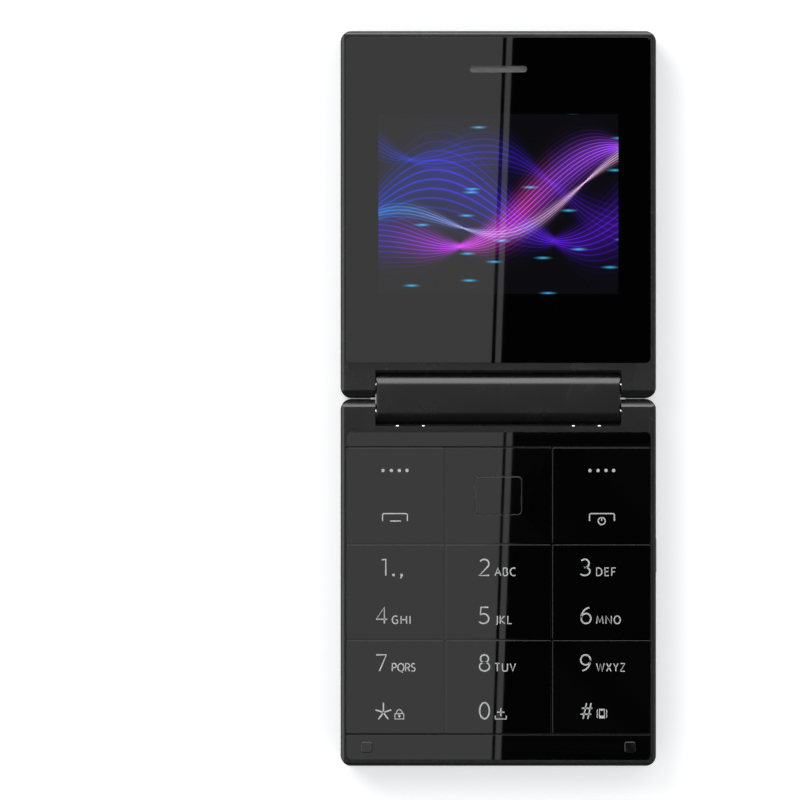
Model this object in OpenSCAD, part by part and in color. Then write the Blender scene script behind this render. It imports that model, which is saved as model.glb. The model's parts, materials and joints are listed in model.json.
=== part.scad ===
// Folding mobile phone, lying open and flat on its leather back.
// X runs across the phone, Y from the keypad end (-) to the display end (+), Z from the back (0)
// to the front faces. The fold line is Y = 0. The lid is the +Y half, the base the -Y half.

/* [Body] */
// Width of both halves
body_w = 64.4; // [64:0.1:70]
// Length of one half, from the fold line to its far end
half_len = 75; // [74:0.1:80]
// Thickness of one half
half_t = 9; // [9:0.1:11]
// Corner radius of each half, seen from the front
plan_r = 2.3; // [2:0.1:3]
// Radius of the edges of the front faces
front_edge_r = 0.8; // [0.4:0.05:1]
// Radius of the edges of the back faces
back_edge_r = 1; // [0.5:0.05:1.05]
// Thickness of the side walls
wall = 1.1; // [1:0.05:1.3]
// Thickness of the inner back wall
floor_t = 0.8; // [0.6:0.05:1]
// Gap between the two halves at the fold line
fold_gap = 0.1; // [0.06:0.02:0.2]
// Gap between neighbouring pieces that are glued or laid in place
seat_gap = 0.05; // [0.02:0.01:0.08]

/* [Hinge] */
// Distance from the fold line to each of the two hinge axes
axis_y = 2.7; // [2.6:0.05:2.9]
// Gap between the front faces when the phone is shut
shut_gap = 0.5; // [0.4:0.05:0.7]
// Radius of the hinge block's rounded sides
barrel_r = 2.5; // [2.4:0.05:2.6]
// Width of the ear at each end of the hinge block
ear_w = 7.3; // [6.8:0.1:8.2]
// Wall thickness of the hinge block
block_wall = 0.6; // [0.5:0.05:0.7]
// Chamfer round both ends of the hinge block
end_chamfer = 0.3; // [0.1:0.05:0.5]
// Gap at each end of the hinge block
block_end_gap = 0.2; // [0.1:0.05:0.3]
// Gap between the open hinge block and the notch in the lid
lid_notch_gap = 0.6; // [0.3:0.05:0.7]
// Gap between the open hinge block and the notch in the base
base_notch_gap = 0.4; // [0.3:0.05:0.7]
// Gap under the hinge block
block_under_gap = 0.15; // [0.1:0.05:0.2]
// Radius of the shaft ends that are pressed into the ears
ear_shaft_r = 1.1; // [0.9:0.05:1.3]
// Length of a shaft inside its ear
ear_shaft_len = 5.4; // [4:0.1:5.8]
// Radius of the shafts inside the hinge block
shaft_r = 0.7; // [0.6:0.05:0.72]
// Running clearance round a shaft
shaft_fit = 0.03; // [0.02:0.01:0.05]
// Teeth on each of the four gears
gear_teeth = 12; // [10:2:16]
// Pressure angle of the gear teeth
gear_pressure = 20; // [18:1:25]
// Play between meshing teeth, as a share of the tooth pitch
gear_play = 0.08; // [0.05:0.01:0.15]
// Width of the gears along their shafts
gear_w = 3; // [2:0.1:4]
// Radius of the axles of the two middle gears
idler_r = 0.4; // [0.3:0.05:0.5]
// Thickness of the steel plates that hold the shafts
end_plate_t = 0.8; // [0.6:0.05:1]
// Length of the spring clip that grips both shafts
clip_len = 2.8; // [2:0.1:3.5]
// Wall thickness of the spring clip
clip_t = 0.45; // [0.3:0.05:0.5]
// Half-width of the coiled display cable
flex_half_w = 9; // [6:0.5:12]
// Thickness of the coiled display cable
flex_t = 0.15; // [0.1:0.05:0.3]

/* [Front of the lid] */
// Rim between the glass and the side, top and bottom of the lid
glass_side_rim = 1.1; // [1:0.05:1.3]
// Rim between the glass and the lid's far end
glass_end_rim = 1.25; // [1.1:0.05:1.5]
// Distance from the fold line to the glass
glass_start = 7.24; // [7.1:0.02:8]
// Thickness of the cover glass
glass_t = 0.8; // [0.6:0.05:1]
// Corner radius of the glass
glass_r = 1; // [0.6:0.1:1.3]
// Width of the lit area of the display, a 2.4 inch 4:3 module
lcd_view_w = 48.96; // [44:0.02:49]
// Height of the lit area of the display
lcd_view_h = 36.72; // [33:0.02:37]
// Distance from the earpiece slot down to the middle of the display
lcd_drop = 27.52; // [26.5:0.02:28.5]
// Border of the display module round its lit area
lcd_border = 2.6; // [2:0.1:2.8]
// Thickness of the display module
lcd_t = 1.8; // [1.4:0.05:2]
// Thickness of the display's steel frame
lcd_frame_t = 0.3; // [0.2:0.05:0.35]
// Width of the earpiece slot
slot_w = 11.6; // [8:0.1:12]
// Height of the earpiece slot
slot_h = 1.26; // [1:0.02:1.6]
// Distance from the lid's far end to the earpiece slot
slot_end = 7.8; // [7.5:0.1:8.2]

/* [Back of the lid] */
// Thickness of the leather panels and of the camera plate
panel_t = 0.6; // [0.5:0.05:0.7]
// Inset of the bright trim from the side of the phone
trim_inset = 1.05; // [1:0.05:1.3]
// Width of the bright trim
trim_w = 0.4; // [0.3:0.05:0.6]
// Length of the camera plate, from the lid's far end
plate_len = 28.8; // [28:0.1:30]
// Width and depth of the bevel round the camera plate
plate_bevel = [0.9, 0.16]; // [0.1:0.02:1]
// Distance from the side of the lid to the camera and flash
camera_side = 11.14; // [10.7:0.02:11.7]
// Distance from the lid's far end to the camera
camera_end = 9.2; // [8.8:0.1:9.5]
// Distance from the camera to the flash
lens_pitch = 12; // [11.5:0.1:12.3]
// Radius of the metal rings round the camera and the flash
ring_r = 4.7; // [4.5:0.05:4.8]
// Wall thickness of the metal rings
ring_t = 0.45; // [0.35:0.05:0.6]
// Radius of the windows of the camera and the flash
lens_r = 1.9; // [1.6:0.05:2.2]

/* [Keypad] */
// Distance from the fold line to the keypad
keypad_start = 6.83; // [6.8:0.01:7.2]
// Rim between the keypad and the side of the base
keypad_side_rim = 1.1; // [1:0.05:1.3]
// Rim between the keypad and the base's far end
keypad_end_rim = 1.25; // [1.1:0.05:1.5]
// Height of the fixed strip above the keys
top_strip_h = 3.07; // [2.8:0.01:3.4]
// Height of the fixed strip below the keys
bottom_strip_h = 5.25; // [4.8:0.05:6]
// How much each row of key plates is lower than the row above it
row_step = 0.25; // [0:0.05:0.5]
// Width of the middle column of key plates
key_mid_w = 21.8; // [20:0.1:23]
// Gap between neighbouring key plates
groove = 0.34; // [0.24:0.02:0.5]
// Depth of the key faces below the front frame
key_sink = 0.1; // [0:0.05:0.2]
// Thickness of the key plates
key_t = 0.9; // [0.8:0.05:1]
// Distance of each key of a plate from the plate's rocking line
key_reach = 4.9; // [4:0.1:5.5]
// Tilt of a key plate when one of its keys is pressed, in degrees
key_tilt = 1.5; // [1:0.1:1.6]
// Radius of the rocking rib under a key plate
rib_r = 0.35; // [0.25:0.05:0.35]
// Radius of the pushers under the keys
pusher_r = 1; // [0.8:0.05:1.2]
// Width of the OK key's opening
ok_w = 9.6; // [9:0.1:10]
// Height of the OK key's opening
ok_h = 7.9; // [7.5:0.1:8.2]
// Travel of the OK key
ok_travel = 0.2; // [0.15:0.01:0.22]
// Corner radius of the OK key's opening
ok_r = 0.9; // [0.6:0.05:1.2]
// Gap round the OK key
ok_gap = 0.15; // [0.1:0.01:0.2]
// Distance of the navigation plate's four pushers from its edges
nav_edge = 2.5; // [2.3:0.1:2.8]
// Side of the square lid bumpers
bumper = 2.2; // [2:0.1:2.6]
// Height of the lid bumpers above the front face
bumper_up = 0.35; // [0.2:0.05:0.35]
// Distance from the side of the base to each lid bumper
bumper_side = 5.35; // [4.5:0.05:7]

/* [Inside] */
// Thickness of the keypad's rubber web
web_t = 0.9; // [0.8:0.05:1]
// Gap between the key plates and the rubber web
web_gap = 0.4; // [0.38:0.02:0.5]
// Height of the metal domes
dome_h = 0.25; // [0.2:0.05:0.3]
// Radius of the metal domes
dome_r = 1.4; // [1.2:0.05:1.45]
// Thickness of the dome sheet's film
film_t = 0.1; // [0.08:0.01:0.15]
// Thickness of the circuit boards
pcb_t = 0.8; // [0.6:0.05:1]
// Width of the ledge that the boards and the web rest against
ledge = 1; // [0.9:0.05:1.2]
// Thickness of the battery cover under its leather
cover_t = 0.7; // [0.5:0.05:0.8]
// Width of the bays on both sides of the battery
side_bay_w = 12.6; // [12.2:0.1:14]
// Distance from the fold line to the battery
battery_start = 14; // [13.5:0.1:16]
// Distance from the base's far end to the battery
battery_end = 11; // [10:0.1:13]
// Thickness of the battery
battery_t = 3.3; // [3:0.05:3.35]
// Radius of the screws' threaded part
screw_r = 0.65; // [0.5:0.05:0.8]
// Radius of the screw bosses
boss_r = 1.9; // [1.7:0.05:2.1]
// Length of the side key
side_key_len = 7.1; // [6:0.1:8]
// Height of the side key
side_key_h = 2.2; // [1.6:0.1:2.4]
// How far the side key stands out of the base
side_key_out = 0.15; // [0.1:0.01:0.3]
// Travel of the side key
side_key_travel = 0.25; // [0.2:0.01:0.3]
// Distance from the fold line to the middle of the side key
side_key_y = 32.05; // [31:0.05:33]
// Room between the rubber web and the board, for the domes
dome_room = 0.9; // [0.8:0.05:1]
// Width of the charging socket
port_w = 8.9; // [8.6:0.1:9.2]
// Height of the charging socket
port_h = 2.65; // [2.4:0.05:2.7]
// Length of the charging socket
port_len = 7.3; // [6.5:0.1:7.6]

/* [Hidden] */
$fn = 48;

frame_colour = [0.17, 0.17, 0.18];
gloss_colour = [0.09, 0.09, 0.1];
leather_colour = [0.15, 0.15, 0.15];
bright_colour = [0.78, 0.78, 0.8];
steel_colour = [0.6, 0.62, 0.65];
board_colour = [0.1, 0.35, 0.2];

over = 1;                                   // how far a cut runs past a face
half_w = body_w / 2;
inner_half_w = half_w - wall;
inner_r = plan_r - wall;
end_in = half_len - wall;                   // inner face of each far end wall
block_w = body_w - 2 * ear_w;               // length of the hinge block across the phone

// Heights in the hinge. The two axes lie as deep in the halves as the closed gap asks.
axis_z = half_t - (axis_y - shut_gap / 2);
notch_z = axis_z - barrel_r - block_under_gap;
notch_half_w = block_w / 2 + block_end_gap;
lid_notch_y = axis_y + barrel_r + lid_notch_gap;
base_notch_y = axis_y + barrel_r + base_notch_gap;
ear_r = axis_y - fold_gap / 2;
lid_wall_y = lid_notch_y + wall;
base_wall_y = base_notch_y + wall;
barrel_in_r = barrel_r - block_wall;
gear_r = axis_y / 3;                        // pitch radius: three gear pitches span both axes
gear_module = 2 * gear_r / gear_teeth;
plate_out_x = block_w / 2 - block_wall - seat_gap;
gear_out_x = plate_out_x - end_plate_t - seat_gap;
plate_in_x = gear_out_x - gear_w - seat_gap;
shaft_end_x = plate_in_x - end_plate_t - 0.3;

// Heights in the lid
glass_z = half_t - glass_t;
glass_half_w = half_w - glass_side_rim;
glass_end = half_len - glass_end_rim;
mask_t = 0.8;                               // plate of the front frame under the glass
mask_z = glass_z - mask_t;
lcd_half_w = lcd_view_w / 2 + lcd_border;
lcd_half_h = lcd_view_h / 2 + lcd_border;
lcd_z = glass_z - 0.1 - lcd_t;
lcd_frame_z = lcd_z - seat_gap - lcd_frame_t;
lid_pcb_z = lcd_frame_z - 0.4 - pcb_t;
lid_floor_z = panel_t + floor_t;
slot_y = half_len - slot_end;
lcd_y = slot_y - lcd_drop;
plate_start = half_len - plate_len;
camera_x = half_w - camera_side;
camera_y = half_len - camera_end;
flash_y = camera_y - lens_pitch;
flange_w = 1.5;                             // rim of the display's steel frame
lid_pcb_half_w = inner_half_w - 5.1;
lid_pcb_y = [lid_wall_y + 6, slot_y - 8];
pcb_posts = [for (s = [-1, 1], y = [lid_pcb_y[0] + 5, lid_pcb_y[1] - 13])
    [s * (lid_pcb_half_w - 6), y]];
post_r = 1.5;
module_side = 8.4;                          // side of the square camera module
module_h = 4;
window_r = 3;                               // flange behind the camera's and the flash's window
window_z = 0.42;                            // depth of the windows behind the camera plate's face
receiver_half_w = 6;
receiver_half_h = 3.2;
receiver_t = 2.6;
magnet = [6, 3.5, 1.6];

// Heights in the base
key_top = half_t - key_sink;
key_z = key_top - key_t;
web_top = key_z - web_gap;
web_z = web_top - web_t;
board_top = web_z - film_t - dome_room;
board_z = board_top - pcb_t;
dome_top = board_top + film_t + dome_h;
base_floor_z = panel_t + cover_t + floor_t;
key_drop = (key_reach + pusher_r) * sin(key_tilt);
pusher_z = dome_top + key_drop + 0.05;
ok_pusher_z = dome_top + ok_travel + 0.1;

// Places on the keypad, from the fold line down
keypad_half_w = half_w - keypad_side_rim;
keypad_end = half_len - keypad_end_rim;
first_row_y = keypad_start + top_strip_h;
mean_row_h = (keypad_end - bottom_strip_h - first_row_y) / 3;
function row_h(row) = mean_row_h + (1 - row) * row_step;
row_y = [first_row_y, first_row_y + row_h(0), first_row_y + row_h(0) + row_h(1),
    keypad_end - bottom_strip_h];
function row_mid(row) = -(row_y[row] + row_y[row + 1]) / 2;
key_plate_r = 0.3;
bumper_x = half_w - bumper_side;
bumper_y = (row_y[3] + keypad_end) / 2;
side_key_w = keypad_half_w - seat_gap * 2 - key_mid_w / 2 - groove / 2;
side_key_x = keypad_half_w - seat_gap * 2 - side_key_w / 2;
nav_y = row_mid(0);
nav_reach_x = key_mid_w / 2 - nav_edge;
nav_reach_y = row_h(0) / 2 - nav_edge;
nav_drop = (nav_reach_x + pusher_r) * sin(key_tilt);
nav_pusher_z = dome_top + nav_drop + 0.05;
nav_room = (key_mid_w + row_h(0)) / 2 * sin(key_tilt) + 0.05;
nav_rib_len = 1.3;
nav_rib_y = ok_h / 2 + 0.75;                // middle of the two ribs that rest on the gimbal
gimbal_half_x = 6.2;
gimbal_half_y = 5.4;
gimbal_t = 0.4;
gimbal_top = key_z - 0.25;
gimbal_rib_r = 0.25;
gimbal_well_z = gimbal_top - gimbal_t - gimbal_rib_r - seat_gap;
key_places = concat(
    [for (row = [0:2], side = [-1, 1], end = [-1, 1])
        [side * side_key_x, row_mid(row) + end * key_reach]],
    [for (row = [1:2], end = [-1, 1]) [0, row_mid(row) + end * key_reach]]);
nav_places = [[0, nav_reach_y], [0, -nav_reach_y], [nav_reach_x, 0], [-nav_reach_x, 0]];
screw_in = boss_r - 0.2;                    // bosses merge into both walls of their corner
lid_bosses = [for (s = [-1, 1], y = [lid_wall_y + screw_in, end_in - screw_in])
    [s * (inner_half_w - screw_in), y]];
base_bosses = [for (s = [-1, 1], y = [base_wall_y + screw_in, end_in - screw_in])
    [s * (inner_half_w - screw_in), y]];
screw_head_r = screw_r + 0.4;
screw_head_t = 0.5;

// Places inside the base
battery_y = [battery_start, half_len - battery_end];
bay_wall = 1;
bay_x = inner_half_w - side_bay_w - bay_wall;   // inner face of the battery bay's side walls
battery_w = 2 * (bay_x - 0.1);
port_z = board_z - seat_gap - port_h / 2;
port_sheet = 0.35;
port_tongue = [6.2, 5.6, 0.7];
microphone_x = 13;
microphone_z = base_floor_z + 0.9;
microphone_r = 0.4;
side_key_z = notch_z + side_key_h / 2 + 0.5;
side_key_flange = 0.5;
antenna_end = 5.1;                          // gap between the antenna and the side wall
antenna_w = 3;
antenna_h = 2.8;
microphone_half = 1.8;
microphone_len = 2.6;
can_x = [bay_x + bay_wall + 1.1, inner_half_w - 1.6];
can_y = [14, 44];
can_h = 1.7;
can_t = 0.2;
card_x = [bay_x + bay_wall + 1.1, inner_half_w - 2.1];
card_y = [12, 28];
card_h = 1.5;
speaker_x = inner_half_w - 6.2;
speaker_y = end_in - 14.4;
speaker_half = [5.4, 7.5];
speaker_t = 2.8;
motor_x = speaker_x + 0.1;
motor_pitch = 16.5;                         // from the loudspeaker to the motor
motor_y = speaker_y - motor_pitch;
motor_r = 5;
motor_t = 2.7;
pip = [0.5, 0.2, 1];
pip_x = [15.3, 20.6];

// The leather, the trim round it and the pocket for both
trim_out_w = half_w - trim_inset;
leather_gap = 0.12;
trim_gap = leather_gap - seat_gap;
leather_half_w = trim_out_w - trim_w - leather_gap;
tongue_half_w = block_w / 2 - 0.1;
lid_leather_y = 1.3;
base_leather_y = 1.5;
leather_end = half_len - (half_w - leather_half_w);
cover_y = [base_wall_y + 0.8, leather_end];
leather_r = 1.9;

// ---- Shared forms ----

// A rounded rectangle round the origin, w by l
module round_rect(w, l, r) {
    square([w - 2 * r, l], center = true);
    square([w, l - 2 * r], center = true);
    for (x = [-1, 1], y = [-1, 1]) translate([x * (w / 2 - r), y * (l / 2 - r)]) circle(r);
}

// A slab with rounded corners, centred in X, between two Y and two Z values
module slab(x, y, z, r) {
    translate([0, (y[0] + y[1]) / 2, z[0]])
        linear_extrude(z[1] - z[0]) round_rect(2 * x, y[1] - y[0], r);
}

// The same slab with its middle at X = x
module slab_at(x, half, y, z, r) { translate([x, 0, 0]) slab(half, y, z, r); }

// A plain block between two corners
module block(lo, hi) { translate(lo) cube(hi - lo); }

// A rod along X from x[0] to x[1]
module rod(x, y, z, r) {
    translate([x[0], y, z]) rotate([0, 90, 0]) cylinder(r = r, h = x[1] - x[0]);
}

// A rod along +Y from the point p
module rod_y(p, len, r) { translate(p) rotate([-90, 0, 0]) cylinder(r = r, h = len); }

// A pillar along Z
module pillar(p, z, r) { translate([p[0], p[1], z[0]]) cylinder(r = r, h = z[1] - z[0]); }

// Section with soft edges: the back corners at height 0, the front corners at height t
module edge_section(w, t, back_r, front_r) {
    translate([-w / 2, back_r]) square([w, t - back_r - front_r]);
    translate([back_r - w / 2, 0]) square([w - 2 * back_r, t - front_r]);
    translate([front_r - w / 2, back_r]) square([w - 2 * front_r, t - back_r]);
    for (s = [-1, 1]) {
        translate([s * (w / 2 - back_r), back_r]) circle(back_r);
        translate([s * (w / 2 - front_r), t - front_r]) circle(front_r);
    }
}

// Length section of one half. The ear's nose is an arc round the hinge axis, so that the two
// ears roll past each other.
module length_section() {
    len = half_len - fold_gap / 2;
    intersection() {
        translate([fold_gap / 2 + len / 2, 0]) edge_section(len, half_t, back_edge_r, front_edge_r);
        union() {
            translate([axis_y, 0]) square([half_len, half_t]);
            translate([fold_gap / 2, 0]) square([axis_y, axis_z]);
            translate([axis_y, axis_z]) circle(ear_r);
        }
    }
}

// Outer form of one half, on the +Y side of the fold
module half_form() {
    intersection() {
        slab(half_w, [fold_gap / 2, half_len], [0, half_t], plan_r);
        translate([0, half_len + over, 0]) rotate([90, 0, 0]) linear_extrude(half_len + 2 * over)
            edge_section(body_w, half_t, back_edge_r, front_edge_r);
        translate([-half_w - over, 0, 0]) rotate([90, 0, 90]) linear_extrude(body_w + 2 * over)
            length_section();
    }
    // square tongue under the hinge block
    block([-tongue_half_w - 0.1, fold_gap / 2, 0], [tongue_half_w + 0.1, plan_r, notch_z]);
}

// The part of a half in front of or behind the parting line
module front_part() {
    intersection() {
        half_form();
        block([-half_w - over, -over, notch_z], [half_w + over, half_len + over, half_t + over]);
    }
}
module rear_part() {
    intersection() {
        half_form();
        block([-half_w - over, -over, -over], [half_w + over, half_len + over, notch_z]);
    }
}

// Notch for the hinge block and bores for the shaft ends in both ears
module hinge_notch(notch_y) {
    block([-notch_half_w, -over, notch_z], [notch_half_w, notch_y, half_t + over]);
    for (s = [-1, 1])
        side_rod(s, [notch_half_w - over, notch_half_w + ear_shaft_len + 0.2], axis_y, ear_shaft_r + 0.01);
}
// A rod along a hinge axis, on the side s, between two distances from the middle
module side_rod(s, x, y, r) { rod([min(s * x[0], s * x[1]), max(s * x[0], s * x[1])], y, axis_z, r); }

// Narrow slots beside the tongue that let light through at the block's ends
module light_slots(y_to) {
    slot = 0.25;
    fold_slot = [1.3, 0.36];
    for (s = [-1, 1]) {
        translate([s * (notch_half_w - slot / 2), y_to / 2, 0])
            cube([slot, y_to + 0.001, 3 * half_t], center = true);
        translate([s * (notch_half_w - slot + fold_slot[0] / 2 - 0.05), 0, 0])
            cube([fold_slot[0], fold_slot[1], 3 * half_t], center = true);
    }
}

// A shaft with its ear end, one on each side
module hinge_shaft(s, y) {
    x_ear = notch_half_w + 0.05;
    side_rod(s, [x_ear, x_ear + ear_shaft_len], y, ear_shaft_r);
    side_rod(s, [shaft_end_x, x_ear], y, shaft_r);
}

// ---- Gears ----

function involute(base_r, angle) = let (a = angle * PI / 180)
    [base_r * (cos(angle) + a * sin(angle)), base_r * (sin(angle) - a * cos(angle))];
function turned(p, angle) = [p[0] * cos(angle) - p[1] * sin(angle), p[0] * sin(angle) + p[1] * cos(angle)];
// Roll angle at which an involute reaches radius r
function roll_to(base_r, r) = sqrt(max(0, pow(r / base_r, 2) - 1)) * 180 / PI;
// Polar angle of the involute at radius r
function flank_angle(base_r, r) = roll_to(base_r, r) - atan(roll_to(base_r, r) * PI / 180);

// Spur gear outline with a tooth on the +x axis
module gear_outline() {
    base_r = gear_r * cos(gear_pressure);
    tip_r = gear_r + 0.85 * gear_module;
    root_r = gear_r - 1.15 * gear_module;
    half_tooth = 90 / gear_teeth * (1 - gear_play) + flank_angle(base_r, gear_r);
    rolls = [for (i = [0:2]) roll_to(base_r, base_r + (tip_r - base_r) * i / 2)];
    flank = [turned([root_r, 0], -half_tooth),
        for (a = rolls) turned(involute(base_r, a), -half_tooth)];
    tooth = concat(flank, [for (i = [len(flank) - 1:-1:0]) [flank[i][0], -flank[i][1]]]);
    polygon([for (k = [0:gear_teeth - 1], p = tooth) turned(p, k * 360 / gear_teeth)]);
}

// Gear number k of the train, counted from the base's shaft
function gear_y(k) = -axis_y + 2 * gear_r * k;
function gear_phase(k) = k == 0 ? 0 : 180 + 180 / gear_teeth - gear_phase(k - 1);
module gear(k) {
    translate([-gear_out_x, gear_y(k), axis_z]) rotate([90, 0, 90])
        linear_extrude(gear_w) rotate(gear_phase(k)) gear_outline();
}
module idler_gear(k) {
    gear(k);
    rod([-plate_out_x, seat_gap - plate_in_x - end_plate_t], gear_y(k), axis_z, idler_r);
}

// ---- Base half ----
// Everything here is drawn on the +Y side and mirrored, so that both halves share their forms.

module base_front_frame() {
    slot_gap = 0.1;
    color(frame_colour) mirror([0, 1, 0]) difference() {
        front_part();
        hinge_notch(base_notch_y);
        light_slots(1.2);
        // pocket for the key plates and strips
        slab(keypad_half_w, [keypad_start, keypad_end], [key_z, half_t + over], 1);
        // well for the rubber web, and the opening for its domes
        slab(keypad_half_w - 0.1, [row_y[0] + 0.1, row_y[3] - 0.1], [web_z, half_t], 0.2);
        slab(keypad_half_w - ledge, [row_y[0] + ledge, row_y[3] - ledge], [board_top, half_t], 0.5);
        // room for the board and what hangs under it, with a boss in each corner
        difference() {
            slab(inner_half_w, [base_wall_y, end_in], [notch_z - over, board_top], inner_r);
            for (p = base_bosses) pillar(p, [notch_z - 2 * over, board_top], boss_r);
        }
        for (p = base_bosses) pillar(p, [notch_z - over, board_top + 0.6], screw_r + 0.02);
        // slot for the side key, charging socket and microphone hole
        side_key_form(slot_gap, half_w + over);
        port_cut();
        microphone_hole();
    }
    // four light pips on the edge of the notch
    color(bright_colour) for (s = [-1, 1], x = pip_x)
        translate([s * x - pip[0] / 2, -base_notch_y, half_t - pip[2] - 0.2]) cube(pip);
}
// The shank of the side key, or the slot for it, out to X = out_x
module side_key_form(grow, out_x) {
    translate([inner_half_w - over, side_key_y, side_key_z]) rotate([90, 0, 90])
        linear_extrude(out_x - inner_half_w + over)
            round_rect(side_key_len + 2 * grow, side_key_h + 2 * grow, 0.5 + grow);
}
module microphone_hole() {
    rod_y([microphone_x, end_in - over, microphone_z], 2 * over + wall, microphone_r);
}

module port_outline(grow) { round_rect(port_w + 2 * grow, port_h + 2 * grow, 1.2 + grow); }
module port_cut() {
    translate([0, half_len + over, port_z]) rotate([90, 0, 0])
        linear_extrude(wall + 2 * over) port_outline(0.05);
}

module base_rear_shell() {
    color(frame_colour) mirror([0, 1, 0]) difference() {
        union() {
            difference() {
                rear_part();
                slab(inner_half_w, [base_wall_y, end_in], [base_floor_z, half_t], inner_r);
            }
            for (p = base_bosses) intersection() {
                pillar(p, [base_floor_z - 0.1, notch_z], boss_r);
                slab(inner_half_w + 0.1, [base_wall_y - 0.1, end_in + 0.1], [0, half_t], inner_r);
            }
            // walls of the battery bay, up to the board
            difference() {
                block([-bay_x - bay_wall, battery_y[0], base_floor_z - 0.1],
                    [bay_x + bay_wall, battery_y[1] + bay_wall, board_z]);
                block([-bay_x, battery_y[0] - over, 0], [bay_x, battery_y[1], half_t]);
            }
        }
        panel_pocket(base_leather_y);
        light_slots(1.2);
        // seat of the battery cover and the opening for the battery
        slab(leather_half_w + seat_gap, [cover_y[0] - seat_gap, cover_y[1] + seat_gap],
            [panel_t - over, panel_t + cover_t], 1);
        block([-bay_x, battery_y[0] - 0.1, 0], [bay_x, battery_y[1], base_floor_z + over]);
        for (p = base_bosses) {
            pillar(p, [0, notch_z + over], screw_r + 0.1);
            pillar(p, [0, panel_t + cover_t + screw_head_t + 0.02], screw_head_r + 0.1);
        }
        microphone_hole();
        port_cut();
    }
}

// Pocket in the back for leather and trim, with its tongue at the fold
module panel_pocket(start_y) {
    slab(trim_out_w + seat_gap, [start_y - trim_w - leather_gap, half_len - trim_inset + seat_gap],
        [-over, panel_t], plan_r - trim_inset);
}

module keypad_strips() {
    side = keypad_half_w - 2 * seat_gap;
    color(gloss_colour) mirror([0, 1, 0]) difference() {
        intersection() {
            slab(side, [keypad_start + seat_gap, keypad_end - seat_gap], [key_z, key_top], 1);
            union() {
                block([-half_w, 0, 0], [half_w, row_y[0] - groove / 2, half_t]);
                block([-half_w, row_y[3] + groove / 2, 0], [half_w, half_len, half_t]);
            }
        }
        for (s = [-1, 1]) translate([s * bumper_x, bumper_y, 0]) linear_extrude(2 * half_t)
            round_rect(bumper + 2 * seat_gap, bumper + 2 * seat_gap, 0.5 + seat_gap);
    }
}

module lid_bumpers() {
    color([0.3, 0.3, 0.31]) mirror([0, 1, 0]) for (s = [-1, 1])
        translate([s * bumper_x, bumper_y, key_z]) linear_extrude(half_t + bumper_up - key_z)
            round_rect(bumper, bumper, 0.5);
}

// A key plate that rocks on a rib along X, with a pusher under each of its two keys
module rocker(x, w, row) {
    color(gloss_colour) {
        translate([x, 0, 0]) slab(w / 2,
            [-row_y[row + 1] + groove / 2, -row_y[row] - groove / 2], [key_z, key_top], key_plate_r);
        rod([x - w / 2 + 1, x + w / 2 - 1], row_mid(row), key_z, rib_r);
        for (end = [-1, 1]) pillar([x, row_mid(row) + end * key_reach], [pusher_z, key_z + 0.1], pusher_r);
    }
}
module soft_call_key() rocker(-side_key_x, side_key_w, 0);
module soft_end_key() rocker(side_key_x, side_key_w, 0);
module key_1_4() rocker(-side_key_x, side_key_w, 1);
module key_2_5() rocker(0, key_mid_w - groove, 1);
module key_3_6() rocker(side_key_x, side_key_w, 1);
module key_7_star() rocker(-side_key_x, side_key_w, 2);
module key_8_0() rocker(0, key_mid_w - groove, 2);
module key_9_hash() rocker(side_key_x, side_key_w, 2);

// The navigation plate rocks left and right on the gimbal's two ribs along Y
module nav_plate() {
    color(gloss_colour) {
        difference() {
            slab((key_mid_w - groove) / 2, [-row_y[1] + groove / 2, -row_y[0] - groove / 2],
                [key_z, key_top], key_plate_r);
            translate([0, nav_y, 0]) linear_extrude(2 * half_t) round_rect(ok_w, ok_h, ok_r);
        }
        for (end = [-1, 1]) rod_y([0, nav_y + end * nav_rib_y - nav_rib_len / 2, key_z],
            nav_rib_len, gimbal_rib_r - seat_gap);
        for (p = nav_places) pillar([p[0], nav_y + p[1]], [nav_pusher_z, key_z + 0.1], pusher_r);
    }
}

// The gimbal rocks up and down on ribs along X that rest in the web
module nav_gimbal() {
    color([0.75, 0.75, 0.72]) {
        difference() {
            slab(gimbal_half_x, [nav_y - gimbal_half_y, nav_y + gimbal_half_y],
                [gimbal_top - gimbal_t, gimbal_top], 1);
            pillar([0, nav_y], [0, half_t], pusher_r + 0.4);
        }
        for (s = [-1, 1]) rod([s * (gimbal_half_x - 1.6) - 1.4, s * (gimbal_half_x - 1.6) + 1.4], nav_y,
            gimbal_top - gimbal_t, gimbal_rib_r);
    }
}

module ok_key() {
    color(gloss_colour) {
        translate([0, nav_y, key_z + 0.1]) linear_extrude(key_t - 0.1 + 0.05)
            round_rect(ok_w - 2 * ok_gap, ok_h - 2 * ok_gap, ok_r - ok_gap);
        pillar([0, nav_y], [ok_pusher_z, key_z + 0.2], pusher_r);
    }
}

// A rounded shank through the wall, with a flange that keeps it in
module side_key() {
    flange_in = inner_half_w - 0.35;
    half = side_key_len / 2 + side_key_flange;
    color(frame_colour) mirror([0, 1, 0]) {
        intersection() {
            side_key_form(0, half_w + side_key_out);
            block([flange_in, 0, 0], [half_w + over, half_len, half_t]);
        }
        block([flange_in, side_key_y - half, side_key_z - side_key_h / 2],
            [inner_half_w - 0.04, side_key_y + half, board_top - 0.1]);
    }
}

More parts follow.
